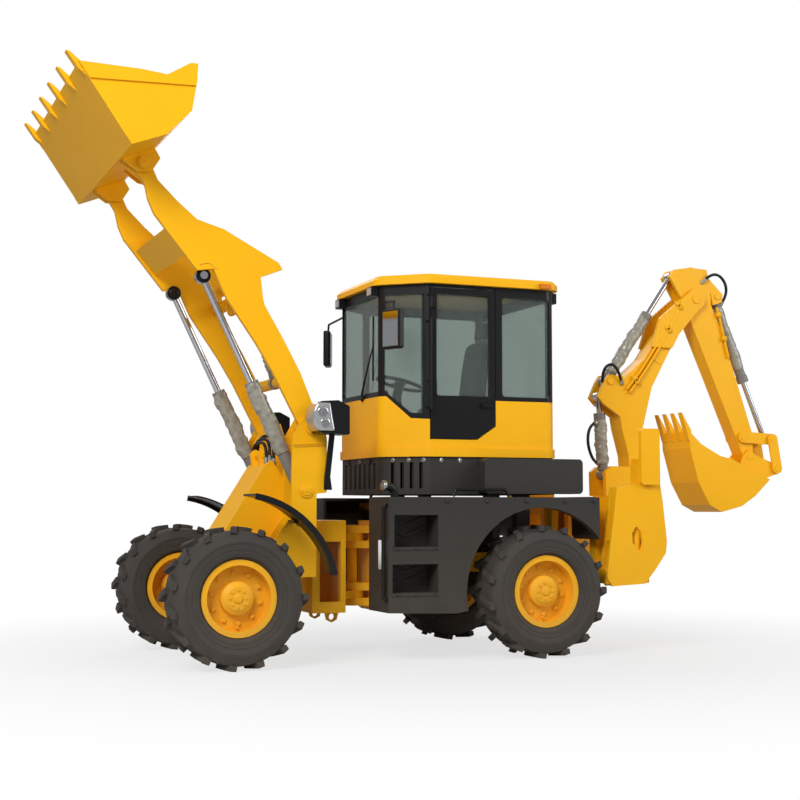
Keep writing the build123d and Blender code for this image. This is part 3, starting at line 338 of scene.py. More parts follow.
def crinkle_group():
    """Wrapped film: creases from the distance to the edge of a cell pattern, folds from twisted noise."""
    tree, given, out = shader_group("Crinkle", [("Scale", 22.0)], ["Crease", "Fold"])
    place = node(tree, "ShaderNodeTexCoord").outputs["Object"]
    cells = node(tree, "ShaderNodeTexVoronoi", [("Vector", place), ("Scale", given.outputs["Scale"])],
                 feature="DISTANCE_TO_EDGE")
    folds = node(tree, "ShaderNodeTexNoise", [("Vector", place)], scale=14.0, detail=7.0, roughness=0.7,
                 distortion=1.2)
    tree.links.new(out.inputs["Crease"], cells.outputs["Distance"])
    tree.links.new(out.inputs["Fold"], folds.outputs["Fac"])
    return tree


def group_node(tree, name, **values):
    """Places a shared node group with its own values."""
    made = tree.nodes.new("ShaderNodeGroup")
    made.node_tree = bpy.data.node_groups[name]
    for key, value in values.items():
        made.inputs[key.replace("_", " ").title()].default_value = value
    return made


def blend_colour(tree, factor, first, second):
    """Mix of two colours, each a socket or a plain colour, by a factor socket."""
    made = node(tree, "ShaderNodeMix", data_type="RGBA")
    tree.links.new(made.inputs["Factor"], factor)
    for slot, value in (("A", first), ("B", second)):
        target = [s for s in made.inputs if s.name == slot and s.type == "RGBA"][0]
        if isinstance(value, bpy.types.NodeSocket):
            tree.links.new(target, value)
        else:
            target.default_value = (*value, 1)
    return [s for s in made.outputs if s.type == "RGBA"][0]


def scaled(tree, socket, low, high):
    """Value from 0 to 1 spread over a new range."""
    made = node(tree, "ShaderNodeMapRange", [("Value", socket)], to_min=low, to_max=high)
    return made.outputs["Result"]


def shade(colour, factor):
    """Colour made darker or lighter by a factor."""
    return tuple(min(1.0, c * factor) for c in colour)


def new_material(name, metallic=0.0, coat=0.0, coat_roughness=0.05, ior=1.45, gloss=0.5):
    """Material with one Principled shader, its constant values set on the sockets."""
    material = bpy.data.materials.new(name)
    material.use_nodes = True
    shader = material.node_tree.nodes["Principled BSDF"]
    for label, value in (("Metallic", metallic), ("Coat Weight", coat), ("Coat Roughness", coat_roughness),
                         ("IOR", ior), ("Specular IOR Level", gloss)):
        shader.inputs[label].default_value = value
    return material, material.node_tree, shader


def add_bump(tree, shader, height, strength, distance):
    """Bump from a height socket on the shader's normal."""
    relief = node(tree, "ShaderNodeBump", [("Height", height)], strength=strength, distance=distance)
    tree.links.new(shader.inputs["Normal"], relief.outputs["Normal"])


def worn_finish(name, colour, dust_colour=(0.30, 0.23, 0.15), dust=0.25, dust_height=1.2, rough=(0.3, 0.45),
                grain_scale=260.0, bump=0.04, spread=0.86, scuff=0.15, bump_distance=0.002,
                **shader_values):
    """Coloured finish: blotchy base, scuffs, dust near the ground, and grain in roughness and bump."""
    material, tree, shader = new_material(name, **shader_values)
    wear = group_node(tree, "Weathering", grain_scale=grain_scale, dust_height=dust_height)
    base = blend_colour(tree, wear.outputs["Broad"], shade(colour, spread), shade(colour, 2 - spread))
    marked = blend_colour(tree, math_node(tree, "MULTIPLY", wear.outputs["Scuff"], scuff), base,
                          shade(colour, 0.55))
    dusty = blend_colour(tree, math_node(tree, "MULTIPLY", wear.outputs["Dust"], dust), marked, dust_colour)
    tree.links.new(shader.inputs["Base Color"], dusty)
    roughness = math_node(tree, "ADD", scaled(tree, wear.outputs["Grain"], *rough),
                          math_node(tree, "MULTIPLY", wear.outputs["Dust"], 0.25))
    tree.links.new(shader.inputs["Roughness"], roughness)
    add_bump(tree, shader, wear.outputs["Grain"], bump, bump_distance)
    return material


def wrapped_film(name, colour):
    """Clear packing film over grey paint: creased bump, uneven gloss, pale creases, and painted shade that
    darkens the hollows of the folds while their crests are painted lighter.
    """
    material, tree, shader = new_material(name, coat=0.4, coat_roughness=0.12)
    film = group_node(tree, "Crinkle", scale=15.0)
    crease = scaled(tree, film.outputs["Crease"], 0.0, 1.6)
    # painted shade and light: the film colour follows the fold relief of the bump, darker in its hollows and
    # lighter on its crests
    tone = blend_colour(tree, film.outputs["Fold"], shade(colour, 0.55), shade(colour, 1.25))
    tree.links.new(shader.inputs["Base Color"], blend_colour(tree, crease, shade(colour, 1.4), tone))
    tree.links.new(shader.inputs["Roughness"], scaled(tree, film.outputs["Fold"], 0.12, 0.42))
    height = math_node(tree, "ADD", film.outputs["Crease"], film.outputs["Fold"])
    add_bump(tree, shader, height, 0.45, 0.008)
    return material


def rubber_finish(name, colour):
    """Tyre rubber: brown dust in blotches and fine grain."""
    return worn_finish(name, colour, dust_colour=(0.105, 0.085, 0.065), dust=0.9, dust_height=1.5,
                       rough=(0.62, 0.85), grain_scale=180.0, bump=0.35, spread=0.7, scuff=0.5,
                       bump_distance=0.004)


def pane_finish(name, colour):
    """Tinted pane: nearly full transmission, with smudges in its tint and gloss."""
    material, tree, shader = new_material(name, ior=1.2)
    shader.inputs["Transmission Weight"].default_value = PANE_TRANSMISSION
    wear = group_node(tree, "Weathering", broad_scale=3.0)
    tree.links.new(shader.inputs["Base Color"],
                   blend_colour(tree, wear.outputs["Broad"], shade(colour, 0.94), shade(colour, 1.04)))
    tree.links.new(shader.inputs["Roughness"], scaled(tree, wear.outputs["Broad"], 0.0, 0.04))
    return material


def woven_finish(name, colour):
    """Seat cloth: crossed threads from two wave patterns, with a soft sheen."""
    material, tree, shader = new_material(name)
    shader.inputs["Sheen Weight"].default_value = 0.3
    place = node(tree, "ShaderNodeTexCoord").outputs["Object"]
    warp = node(tree, "ShaderNodeTexWave", [("Vector", place)], bands_direction="Y", scale=160.0,
                distortion=0.6)
    weft = node(tree, "ShaderNodeTexWave", [("Vector", place)], bands_direction="X", scale=160.0,
                distortion=0.6)
    thread = math_node(tree, "MULTIPLY", warp.outputs["Fac"], weft.outputs["Fac"])
    tree.links.new(shader.inputs["Base Color"],
                   blend_colour(tree, thread, shade(colour, 0.6), shade(colour, 1.8)))
    tree.links.new(shader.inputs["Roughness"], scaled(tree, thread, 0.75, 0.95))
    add_bump(tree, shader, thread, 0.4, 0.002)
    return material


def ribbed_lens(name, colour, rib_scale, metallic=0.0):
    """Lamp lens: upright prism ribs in the bump over a bright reflector tone, with painted shade in the
    troughs of the ribs and painted light on their crests.
    """
    material, tree, shader = new_material(name, metallic=metallic, coat=0.8, coat_roughness=0.04)
    place = node(tree, "ShaderNodeTexCoord").outputs["Object"]
    ribs = node(tree, "ShaderNodeTexWave", [("Vector", place)], bands_direction="Y", scale=rib_scale)
    # painted shade and light: the lens colour follows the rib relief, darker in the troughs and brighter on
    # the crests
    tree.links.new(shader.inputs["Base Color"],
                   blend_colour(tree, ribs.outputs["Fac"], shade(colour, 0.7), colour))
    tree.links.new(shader.inputs["Roughness"], scaled(tree, ribs.outputs["Fac"], LENS_GLOSS * 0.6,
                                                      LENS_GLOSS * 1.6))
    add_bump(tree, shader, ribs.outputs["Fac"], 0.35, 0.003)
    return material


FINISHES = {
    # finish: nodes that take it
    "Yellow Paint": (
        "front_frame", "loader_towers", "loader_arm", "loader_bucket", "tilt_rocker", "tilt_link",
        "rear_frame", "cab_shell", "cab_roof", "hoe_mainframe", "swing_post", "hoe_boom", "hoe_dipper",
        "hoe_bucket", "hoe_guide_links", "hoe_push_links", "left_stabilizer", "right_stabilizer"),
    "Rim Paint": tuple(f"{wheel}_rim" for wheel in WHEELS),
    "Tyre Rubber": tuple(f"{wheel}_tyre" for wheel in WHEELS),
    "Charcoal Paint": ("left_side_body", "right_side_body", "cab_skirt"),
    "Black Trim": ("cab_frame", "cab_door", "front_fenders", "mirrors", "handrails", "headlamps",
                   "cab_lamps"),
    "Axle Casting": ("front_axle", "rear_axle", "engine_block"),
    "Cab Glass": ("cab_glass", "cab_door_glass"),
    "Polished Rod": ("lift_rods", "tilt_rod", "boom_rod", "dipper_rod", "hoe_bucket_rod"),
    "Barrel Paint": ("lift_barrels", "tilt_barrel", "boom_barrel", "dipper_barrel", "hoe_bucket_barrel"),
    "Seat Cloth": ("seat",),
    "Control Plastic": ("controls",),
}


class LOADER_OT_finishes(bpy.types.Operator):
    """Make every finish and give each solid of the machine its own."""

    bl_idname = "loader.finishes"
    bl_label = "Paint and Finishes"

    def execute(self, context):
        paint = colours()
        weathering_group()
        crinkle_group()
        worn_finish("Yellow Paint", paint.yellow, rough=(0.34, 0.48), spread=0.93, dust=0.16, scuff=0.10,
                    bump=0.02, gloss=0.22)
        worn_finish("Rim Paint", paint.rim_yellow, rough=(0.36, 0.5), spread=0.9, dust=0.35, scuff=0.22,
                    gloss=0.25)
        rubber_finish("Tyre Rubber", paint.rubber)
        worn_finish("Charcoal Paint", paint.charcoal, rough=(0.42, 0.58), grain_scale=420.0, bump=0.12,
                    dust=0.20, gloss=0.3)
        worn_finish("Black Trim", paint.black, rough=(0.22, 0.38), grain_scale=300.0, bump=0.05, dust=0.08,
                    gloss=0.25)
        worn_finish("Axle Casting", (0.020, 0.019, 0.018), rough=(0.5, 0.72), grain_scale=120.0, bump=0.3,
                    dust=0.5, gloss=0.25)
        worn_finish("Hose Rubber", (0.012, 0.012, 0.013), rough=(0.35, 0.55), grain_scale=500.0, bump=0.15,
                    dust=0.1, gloss=0.3)
        worn_finish("Control Plastic", (0.02, 0.02, 0.022), rough=(0.5, 0.7), grain_scale=600.0, bump=0.12,
                    dust=0.0)
        worn_finish("Barrel Paint", (0.20, 0.19, 0.17), rough=(0.3, 0.45), dust=0.1)
        worn_finish("Polished Rod", (0.62, 0.62, 0.64), rough=(0.06, 0.16), grain_scale=700.0, bump=0.02,
                    spread=0.97,
                    scuff=0.1, dust=0.0, metallic=1.0)
        worn_finish("Zinc Steel", (0.45, 0.44, 0.41), rough=(0.25, 0.42), grain_scale=400.0, spread=0.9,
                    metallic=1.0)
        worn_finish("Seam Weld", shade(paint.yellow, 0.86), rough=(0.3, 0.5), grain_scale=200.0, bump=0.3,
                    coat=0.3)
        worn_finish("White Paint", (0.78, 0.78, 0.76), rough=(0.35, 0.5))
        wrapped_film("Wrapped Film", paint.wrap)
        pane_finish("Cab Glass", paint.glass)
        woven_finish("Seat Cloth", (0.022, 0.022, 0.026))
        ribbed_lens("Headlamp Lens", (0.58, 0.58, 0.57), 24.0, metallic=0.6)
        ribbed_lens("Work Lamp Lens", (0.80, 0.80, 0.78), 40.0, metallic=0.6)
        ribbed_lens("Amber Lens", (0.85, 0.22, 0.01), 60.0)
        worn_finish("Mirror Face", (0.60, 0.61, 0.62), rough=(0.02, 0.05), spread=0.98, scuff=0.0, dust=0.0,
                    metallic=1.0)
        for name, nodes in FINISHES.items():
            for label in nodes:
                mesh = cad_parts[label].data
                mesh.materials.clear()
                mesh.materials.append(finish(name))
        return {"FINISHED"}


def ring_arrays(centre, radius, thick):
    """Thin round bead about an axis across the machine: a small circle carried round the centre."""
    around, section = 64, 6
    turn = np.linspace(0, 2 * pi, around, endpoint=False)
    small = np.linspace(0, 2 * pi, section, endpoint=False)
    reach = radius + thick * np.cos(small)
    across = thick * np.sin(small)
    verts = np.stack([np.cos(turn)[:, None] * reach, np.broadcast_to(across, (around, section)),
                      np.sin(turn)[:, None] * reach], -1) + np.asarray(centre, float)
    return verts.reshape(-1, 3), grid_faces(around, section, close_rows=True, close_cols=True)


class LOADER_OT_wheel_details(bpy.types.Operator):
    """Add wheel nuts, hub bolts, the valve and the moulded sidewall rings to every wheel."""

    bl_idname = "loader.wheel_details"
    bl_label = "Wheel Details"

    def execute(self, context):
        for wheel in WHEELS:
            low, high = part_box(f"{wheel}_rim")
            centre = (np.asarray(low) + np.asarray(high)) / 2
            side = 1.0 if centre[1] > 0 else -1.0
            out = np.array([0, side, 0])
            disc = centre + out * (NUT_SEAT - RIM_MIDDLE)
            cap = centre + out * (HUB_FACE - RIM_MIDDLE)
            shapes = bolt_shapes(disc + bolt_circle(WHEEL_NUTS, 0.2) * NUT_CIRCLE, out, 0.017)
            shapes += bolt_shapes(cap + bolt_circle(HUB_BOLTS, 0.0) * HUB_BOLT_CIRCLE, out, 0.009)
            shapes.append(lathe_arrays([(0, 0.034), (0.006, 0.034), (0.010, 0.028), (0.012, 0.016)], cap,
                                       out, 24))
            stem = disc + np.array([0.0, 0.0, -0.205])
            shapes.append(lathe_arrays([(-0.01, 0.007), (0.03, 0.007), (0.032, 0.009), (0.05, 0.009)], stem,
                                       out, 10))
            new_mesh(f"{wheel}_wheel_nuts", *join(shapes), "Rim Paint", f"{wheel}_wheel", False, "rim_paint")
            beads = []
            for radius, reach in SIDEWALL_RINGS:
                for face in (1, -1):
                    middle = centre - out * RIM_MIDDLE + out * face * reach
                    beads.append(ring_arrays(middle, radius, SIDEWALL_BEAD))
            new_mesh(f"{wheel}_sidewall_rings", *join(beads), "Tyre Rubber", f"{wheel}_wheel",
                     slot="tyre_rubber")
        return {"FINISHED"}


def lens_sheet(side):
    """Wrap-round lens: a plan path from the lamp's front round its outer corner, repeated over the height,
    where the front edge follows a parabola that is furthest forward half way up."""
    height = np.linspace(1742, 1952, 15)
    front = 612 - 45 * ((height - 1850) / 110) ** 2
    steps = np.linspace(0, 1, 23)
    key = [0, 0.35, 0.44, 0.52, 1]
    across = np.interp(steps, key, [676, 832, 849, 854, 852])
    reach = np.stack([np.interp(steps, key, [f + 15, f + 15, f + 10, f - 2, 452 + 0.18 * (z - 1742)])
                      for f, z in zip(front, height)])
    verts = np.stack([reach / 1000 + HINGE_X, np.broadcast_to(side * across / 1000, reach.shape),
                      np.broadcast_to(height[:, None] / 1000, reach.shape)], -1)
    return verts.reshape(-1, 3), grid_faces(len(height), len(steps))


def outward(piece):
    """Turns a closed mesh's faces outwards."""
    work = bmesh.new()
    work.from_mesh(piece.data)
    bmesh.ops.recalc_face_normals(work, faces=work.faces)
    work.to_mesh(piece.data)
    work.free()
    return piece


def thicken(piece, amount):
    """Gives a sheet its thickness."""
    wall = piece.modifiers.new("wall", "SOLIDIFY")
    wall.thickness = amount
    wall.offset = 0.0
    return piece


class LOADER_OT_lamps(bpy.types.Operator):
    """Add headlamp lenses, work-lamp lenses, the amber side lamp and the mirror faces."""

    bl_idname = "loader.lamps"
    bl_label = "Lamps and Mirrors"

    def execute(self, context):
        for label, side in SIDES:
            thicken(new_mesh(f"{label}_headlamp_lens", *lens_sheet(side), "Headlamp Lens", "front_body",
                             slot="lamp_body"), 0.004)
            cups = []
            for x, z, radius in ((548, 1882, 0.040), (530, 1800, 0.036)):
                cups.append(lathe_arrays([(0.0, radius), (0.006, radius), (0.004, radius * 0.86),
                                          (0.002, radius * 0.3),
                                          (0.004, radius * 0.1)], at(x, side * 853, z), (0, side, 0), 28))
            new_mesh(f"{label}_headlamp_cups", *join(cups), "Mirror Face", "front_body", slot="lamp_body")
            plates = [box_arrays(at(0, side * 340, 2858), at(6, side * 420, 2916))]
            plates.append(box_arrays(at(-1566, side * 530, 2850), at(-1560, side * 610, 2916)))
            new_mesh(f"{label}_work_lamp_lenses", *join(plates), "Work Lamp Lens", "rear_body", False,
                     "lamp_body")
            turn = radians(24) * side
            face = np.array([[33 * side, y, z] for y,
                             z in ((-80, -135), (80, -135), (80, 135), (-80, 135))]) / 1000.0
            spin = np.array([[cos(turn), -sin(turn), 0], [sin(turn), cos(turn), 0], [0, 0, 1]])
            pane = face @ spin.T + np.array(at(-50, side * 775, 2545))
            thicken(new_mesh(f"{label}_mirror_face", pane, [[0, 1, 2, 3]], "Mirror Face", "rear_body",
                             False, "lamp_body"), 0.003)
        low, high = at(-1424, 783, 2932), at(-1326, 792, 2971)
        new_mesh("side_lamp_lens", *box_arrays(low, high), "Amber Lens", "rear_body", False, "lamp_body")
        return {"FINISHED"}


def wrap_arrays(start, end, radius, swell, seed):
    """Crumpled sleeve along a cylinder: radius plus a sum of slanted ripples whose phases come from the seed,
    growing by the swell in the plane of motion and held close across it, with a plain inner wall."""
    start, end = np.asarray(start, float), np.asarray(end, float)
    along = np.linspace(0, 1, WRAP_RINGS)[:, None]
    turn = np.linspace(0, 2 * pi, WRAP_AROUND, endpoint=False)[None]
    phase = np.random.default_rng(seed).uniform(0, 2 * pi, WRAP_RIPPLES)
    ripple = sum(np.sin((4 + 4 * k) * along * 2.2 + ((-1) ** k) * (1 + k % 3) * turn + phase[k])
                 / (1.2 + 0.6 * k) for k in range(WRAP_RIPPLES)) / 2.2
    plane = np.abs(np.cos(turn)) ** 1.5
    edge = np.minimum(1, 14 * np.minimum(along, 1 - along))
    reach = radius + 0.003 * (1 + ripple) + swell * plane * (0.45 + 0.55 * ripple) * edge
    axis = (end - start) / np.linalg.norm(end - start)
    side = np.cross(axis, [0, 1, 0])
    side /= np.linalg.norm(side)
    up = np.array([0, 1.0, 0])
    inner = np.full((1, WRAP_AROUND), WRAP_INNER * radius)
    reach = np.vstack([inner, reach, inner])
    along = np.vstack([along[:1], along, along[-1:]])
    verts = start + (end - start) * along[..., None] + reach[..., None] * (
        side * np.cos(turn)[..., None] + up * np.sin(turn)[..., None])
    return verts.reshape(-1, 3), grid_faces(WRAP_RINGS + 2, WRAP_AROUND, close_rows=True, close_cols=True)


CYLINDER_WRAPS = [
    # name, body, base, eye, across, from, to, radius, swell
    ("left_lift_wrap", "lift_barrels", (600, 1290), (1390, 2915), 485, 330, 915, 0.050, 0.016),
    ("right_lift_wrap", "lift_barrels", (600, 1290), (1390, 2915), -485, 330, 915, 0.050, 0.016),
    ("tilt_wrap", "loader_arm", (700, 2150), (842, 2782), 132, 100, 440, 0.044, 0.020),
    ("boom_cylinder_wrap", "boom_barrel", (-2340, 1455), (-2300, 2140), 0, 95, 500, 0.047, 0.012),
    ("dipper_cylinder_wrap", "dipper_barrel", (-2365, 2270), (-3050, 3242), 0, 100, 735, 0.047, 0.010),
    ("bucket_cylinder_wrap", "hoe_bucket_barrel", (-3500, 3080), (-4040, 1790), 0, 100, 700, 0.047, 0.010),
]


class LOADER_OT_wraps(bpy.types.Operator):
    """Wrap the cylinder barrels in crumpled packing film."""

    bl_idname = "loader.wraps"
    bl_label = "Cylinder Wraps"

    def execute(self, context):
        for seed, (name, body, base, eye, across, first, last, radius, swell) in enumerate(CYLINDER_WRAPS):
            base, eye = np.array(at(base[0], across, base[1])), np.array(at(eye[0], across, eye[1]))
            ahead = (eye - base) / np.linalg.norm(eye - base)
            sleeve = wrap_arrays(base + ahead * first / 1000, base + ahead * last / 1000, radius, swell, seed)
            outward(new_mesh(name, *sleeve, "Wrapped Film", body, slot="grey_barrel"))
        return {"FINISHED"}


def hose(name, body, rows, radius):
    """Hydraulic hose: one smooth spline that runs between two fittings on the machine."""
    curve = bpy.data.curves.new(name, "CURVE")
    curve.dimensions = "3D"
    spline = curve.splines.new("NURBS")
    place = points(*rows)
    spline.points.add(len(place) - 1)
    spline.points.foreach_set("co", np.hstack([place, np.ones((len(place), 1))]).ravel())
    spline.order_u = 3
    spline.use_endpoint_u = True
    curve.resolution_u = 8
    piece = bpy.data.objects.new(name, curve)
    bpy.context.scene.collection.objects.link(piece)
    line = bpy.data.meshes.new_from_object(piece)
    spots = np.empty(len(line.vertices) * 3)
    line.vertices.foreach_get("co", spots)
    bpy.data.meshes.remove(line)
    curve.bevel_depth = radius
    curve.bevel_resolution = 3
    curve.use_fill_caps = True
    curve.materials.append(finish("Hose Rubber"))
    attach(piece, body)
    return place


NOSE_ARCHES = [
    # name, x, then across and height on the left half, from the fitting upwards
    ("nose_hose_rear", 740, [(225, 1506), (228, 1600), (195, 1690), (100, 1735)]),
    ("nose_hose_middle", 765, [(205, 1532), (208, 1605), (175, 1678), (90, 1710)]),
    ("nose_hose_front", 788, [(185, 1516), (188, 1590), (158, 1652), (80, 1682)]),
]

HOSES = [
    # name, body, points about the hinge
    *((name, "front_body", [(x, y, z) for y, z in half] + [(x, -y, z) for y, z in half[::-1]])
      for name, x, half in NOSE_ARCHES),
    ("boom_hose", "boom_barrel", [
        (-2270, 20, 1905), (-2215, 45, 1900), (-2165, 55, 1830), (-2155, 60, 1720), (-2190, 60, 1610),
        (-2240, 45, 1560), (-2286, 20, 1550),
    ]),
    ("dipper_port_hose", "hoe_boom", [
        (-2480, 96, 2250), (-2440, 140, 2330), (-2370, 150, 2420), (-2300, 130, 2400), (-2290, 80, 2300),
        (-2330, 40, 2230),
    ]),
    ("dipper_head_hose", "hoe_dipper", [
        (-3340, 82, 3200), (-3400, 110, 3270), (-3500, 110, 3280), (-3590, 90, 3200), (-3610, 60, 3090),
        (-3570, 20, 3010),
    ]),
]

PIPES = [
    # name, body, points about the hinge
    ("boom_pipe_upper", "hoe_boom", [
        (-2520, 112, 2200), (-2700, 112, 2420), (-2960, 112, 2800), (-3040, 112, 2960),
        (-3080, 112, 3020),
    ]),
    ("boom_pipe_lower", "hoe_boom", [
        (-2545, 112, 2170), (-2725, 112, 2390), (-2985, 112, 2770), (-3070, 112, 2930),
        (-3100, 112, 2985),
    ]),
    ("dipper_pipe", "hoe_dipper", [
        (-3480, 96, 2980), (-3520, 96, 2840), (-3560, 96, 2680), (-3600, 96, 2520),
    ]),
    ("left_arm_pipe", "loader_arm", [
        (700, 536, 2180), (800, 536, 2380), (940, 536, 2640), (985, 536, 2740),
    ]),
]


class LOADER_OT_hoses(bpy.types.Operator):
    """Run the hydraulic hoses between their fittings."""

    bl_idname = "loader.hoses"
    bl_label = "Hoses"

    def execute(self, context):
        radius = sizes().hose_radius
        for name, body, rows in HOSES:
            place = hose(name, body, rows, radius)
            ends = []
            for first, second in ((place[0], place[1]), (place[-1], place[-2])):
                ends.append(lathe_arrays([(-0.012, radius * 1.25), (0.0, radius * 1.55),
                                          (0.020, radius * 1.55),
                                          (0.022, radius * 1.25), (0.045, radius * 1.2)], first,
                                         second - first, 6))
            new_mesh(f"{name}_fittings", *join(ends), "Zinc Steel", body, False, "grey_barrel")
        return {"FINISHED"}


class LOADER_OT_pipes(bpy.types.Operator):
    """Lay the painted steel oil pipes and their clamps along the arms."""

    bl_idname = "loader.pipes"
    bl_label = "Oil Pipes"

    def execute(self, context):
        radius = sizes().pipe_radius
        for name, body, rows in PIPES:
            path = smooth_path(points(*rows), 10)
            shapes = [tube_arrays(path, radius, 10)]
            inward = -np.sign(path[0, 1])
            for spot in path[5::14]:
                low = spot + np.array([-0.022, inward * 0.017, -0.022])
                high = spot + np.array([0.022, -inward * 0.014, 0.022])
                shapes.append(box_arrays(low, high))
            outward(new_mesh(name, *join(shapes), "Yellow Paint", body, slot="yellow_paint"))
        return {"FINISHED"}


PIN_CAPS = [
    # name, body, x, z, across, radius, facing away from the middle (1) or towards it (-1), finish
    ("arm_pivot_caps", "front_body", 560, 1780, 642, 58, 1, "Yellow Paint"),
    ("lift_base_caps", "front_body", 600, 1290, 630, 52, 1, "Yellow Paint"),
    ("bucket_hinge_caps", "loader_bucket", 1880, 3715, 640, 46, 1, "Yellow Paint"),
    ("lift_eye_outer_caps", "lift_rods", 1390, 2915, 506, 57, 1, "Black Trim"),
    ("lift_eye_inner_caps", "lift_rods", 1390, 2915, 455, 57, -1, "Black Trim"),
    ("boom_pivot_caps", "swing_post", -2600, 1430, 150, 48, 1, "Yellow Paint"),
    ("dipper_pivot_caps", "hoe_boom", -3250, 3040, 95, 46, 1, "Yellow Paint"),
    ("bucket_pivot_caps", "hoe_dipper", -3800, 1630, 80, 40, 1, "Yellow Paint"),
]


class LOADER_OT_pin_caps(bpy.types.Operator):
    """Cap the main pins with stepped collars, a lock bolt and a grease nipple."""

    bl_idname = "loader.pin_caps"
    bl_label = "Pin Caps"

    def execute(self, context):
        for name, body, x, z, across, radius, facing, paint in PIN_CAPS:
            shapes = []
            for _, side in SIDES:
                centre = np.array(at(x, side * across, z))
                out = (0, side * facing, 0)
                r = radius / 1000
                shapes.append(lathe_arrays([(-0.001, r), (0.009, r), (0.011, r * 0.94), (0.011, r * 0.7),
                                            (0.017, r * 0.66), (0.019, r * 0.58), (0.019, r * 0.12)],
                                           centre, out, 36))
                shapes += bolt_shapes([centre + np.array([r * 0.83, side * facing * 0.010, 0])], out, 0.006)
                shapes.append(lathe_arrays([(0.018, 0.006), (0.028, 0.006), (0.030, 0.004)], centre, out, 6))
            outward(new_mesh(name, *join(shapes), paint, body, False, "yellow_paint"))
        return {"FINISHED"}


SKIRT_BOLTS = [
    # x, across, turn of the outward direction from +Y towards +X, degrees
    (-66, 0, 90), (-66, 250, 90), (-66, -250, 90), (-150, 519, 50), (-250, 602, 50), (-345, 680, 50),
    (-480, 714, 0), (-640, 714, 0),
]


class LOADER_OT_fasteners(bpy.types.Operator):
    """Add the bolt rows on the cab skirt, the step edges and the side bodies."""

    bl_idname = "loader.fasteners"
    bl_label = "Body Bolts"

    def execute(self, context):
        radius = sizes().bolt_radius
        shapes = []
        for _, side in SIDES:
            for x, across, turn in SKIRT_BOLTS:
                if across == 0 and side < 0:
                    continue
                out = (sin(radians(turn)), side * cos(radians(turn)), 0)
                shapes += bolt_shapes([at(x, side * across, 1538)], out, radius)
        outward(new_mesh("skirt_bolts", *join(shapes), "Zinc Steel", "rear_body", False, "grey_barrel"))
        shapes = []
        for _, side in SIDES:
            for z in (857, 511):
                shapes += bolt_shapes([at(x, side * 971, z) for x in (-320, -165, -10)], (0, side, 0),
                                      radius * 0.7)
            shapes += bolt_shapes([at(x, side * 965, 1215) for x in (-420, -760, -1100, -1440, -1700)],
                                  (0, side, 0), radius)
        outward(new_mesh("side_body_bolts", *join(shapes), "Charcoal Paint", "rear_body", False,
                         "dark_grey_paint"))
        return {"FINISHED"}


WELDS = [
    # name, body, points on the left side
    ("boom_plate_weld", "hoe_boom", [(-2880, 95, 2440), (-2820, 95, 2470), (-2760, 95, 2520)]),
    ("tower_cap_weld", "front_body", [(445, 631, 1640), (575, 631, 1634), (705, 631, 1628)]),
    ("arm_pad_weld", "loader_arm", [(1310, 591, 2960), (1370, 591, 3000), (1440, 591, 2985)]),
]


class LOADER_OT_trim(bpy.types.Operator):
    """Add the wiper, front grab rails, filler neck and cap, marker tube and weld beads."""

    bl_idname = "loader.trim"
    bl_label = "Trim and Welds"

    def execute(self, context):
        arm = smooth_path(points((-52, 90, 2050), (-40, 120, 2100), (-44, 240, 2300), (-52, 330, 2450)), 8)
        blade = points((-56, 322, 2180), (-56, 326, 2450), (-56, 330, 2700))
        shapes = [tube_arrays(arm, np.linspace(0.010, 0.006, len(arm)), 8), tube_arrays(blade, 0.008, 8)]
        shapes.append(lathe_arrays([(0, 0.022), (0.02, 0.022), (0.026, 0.012)], at(-62, 90, 2050),
                                   (1, 0, 0), 16))
        outward(new_mesh("wiper", *join(shapes), "Black Trim", "rear_body", slot="black_trim"))
        for label, side in SIDES:
            rail = smooth_path(points((62, side * 930, 1190), (86, side * 930, 1170),
                                      (90, side * 930, 1100),
                                      (90, side * 930, 560), (86, side * 930, 490), (62, side * 930, 470)), 8)
            outward(new_mesh(f"{label}_front_rail", *tube_arrays(rail, 0.015, 12), "Black Trim",
                             "rear_body", slot="black_trim"))
        neck = smooth_path(points((-20, 880, 1246), (-15, 880, 1290), (15, 885, 1320), (60, 890, 1330)), 8)
        outward(new_mesh("filler_neck", *tube_arrays(neck, 0.032, 20), "Black Trim", "rear_body",
                         slot="black_trim"))
        cap = lathe_arrays([(-0.002, 0.040), (0.022, 0.040), (0.028, 0.034), (0.028, 0.016),
                            (0.034, 0.012)],
                           neck[-1], neck[-1] - neck[-2], 28)
        outward(new_mesh("filler_cap", *cap, "Zinc Steel", "rear_body", slot="polished_rod"))
        bar = tube_arrays(points((80, 850, 700), (80, 850, 920)), 0.020, 16)
        clips = [box_arrays(at(59, 838, z), at(84, 862, z + 16)) for z in (720, 884)]
        outward(new_mesh("marker_tube", *join([bar, *clips]), "White Paint", "rear_body", slot="lamp_body"))
        for name, body, rows in WELDS:
            shapes = []
            for across in (1, -1):
                path = smooth_path(points(*[(x, across * y, z) for x, y, z in rows]), 10)
                width = 0.005 + 0.0008 * np.sin(np.arange(len(path)) * 1.7)
                shapes.append(tube_arrays(path, width, 8))
            outward(new_mesh(name, *join(shapes), "Seam Weld", body, slot="yellow_paint"))
        return {"FINISHED"}


def power(value, exponent):
    """Power of a value's size, with the value's own sign."""
    return np.sign(value) * np.abs(value) ** exponent


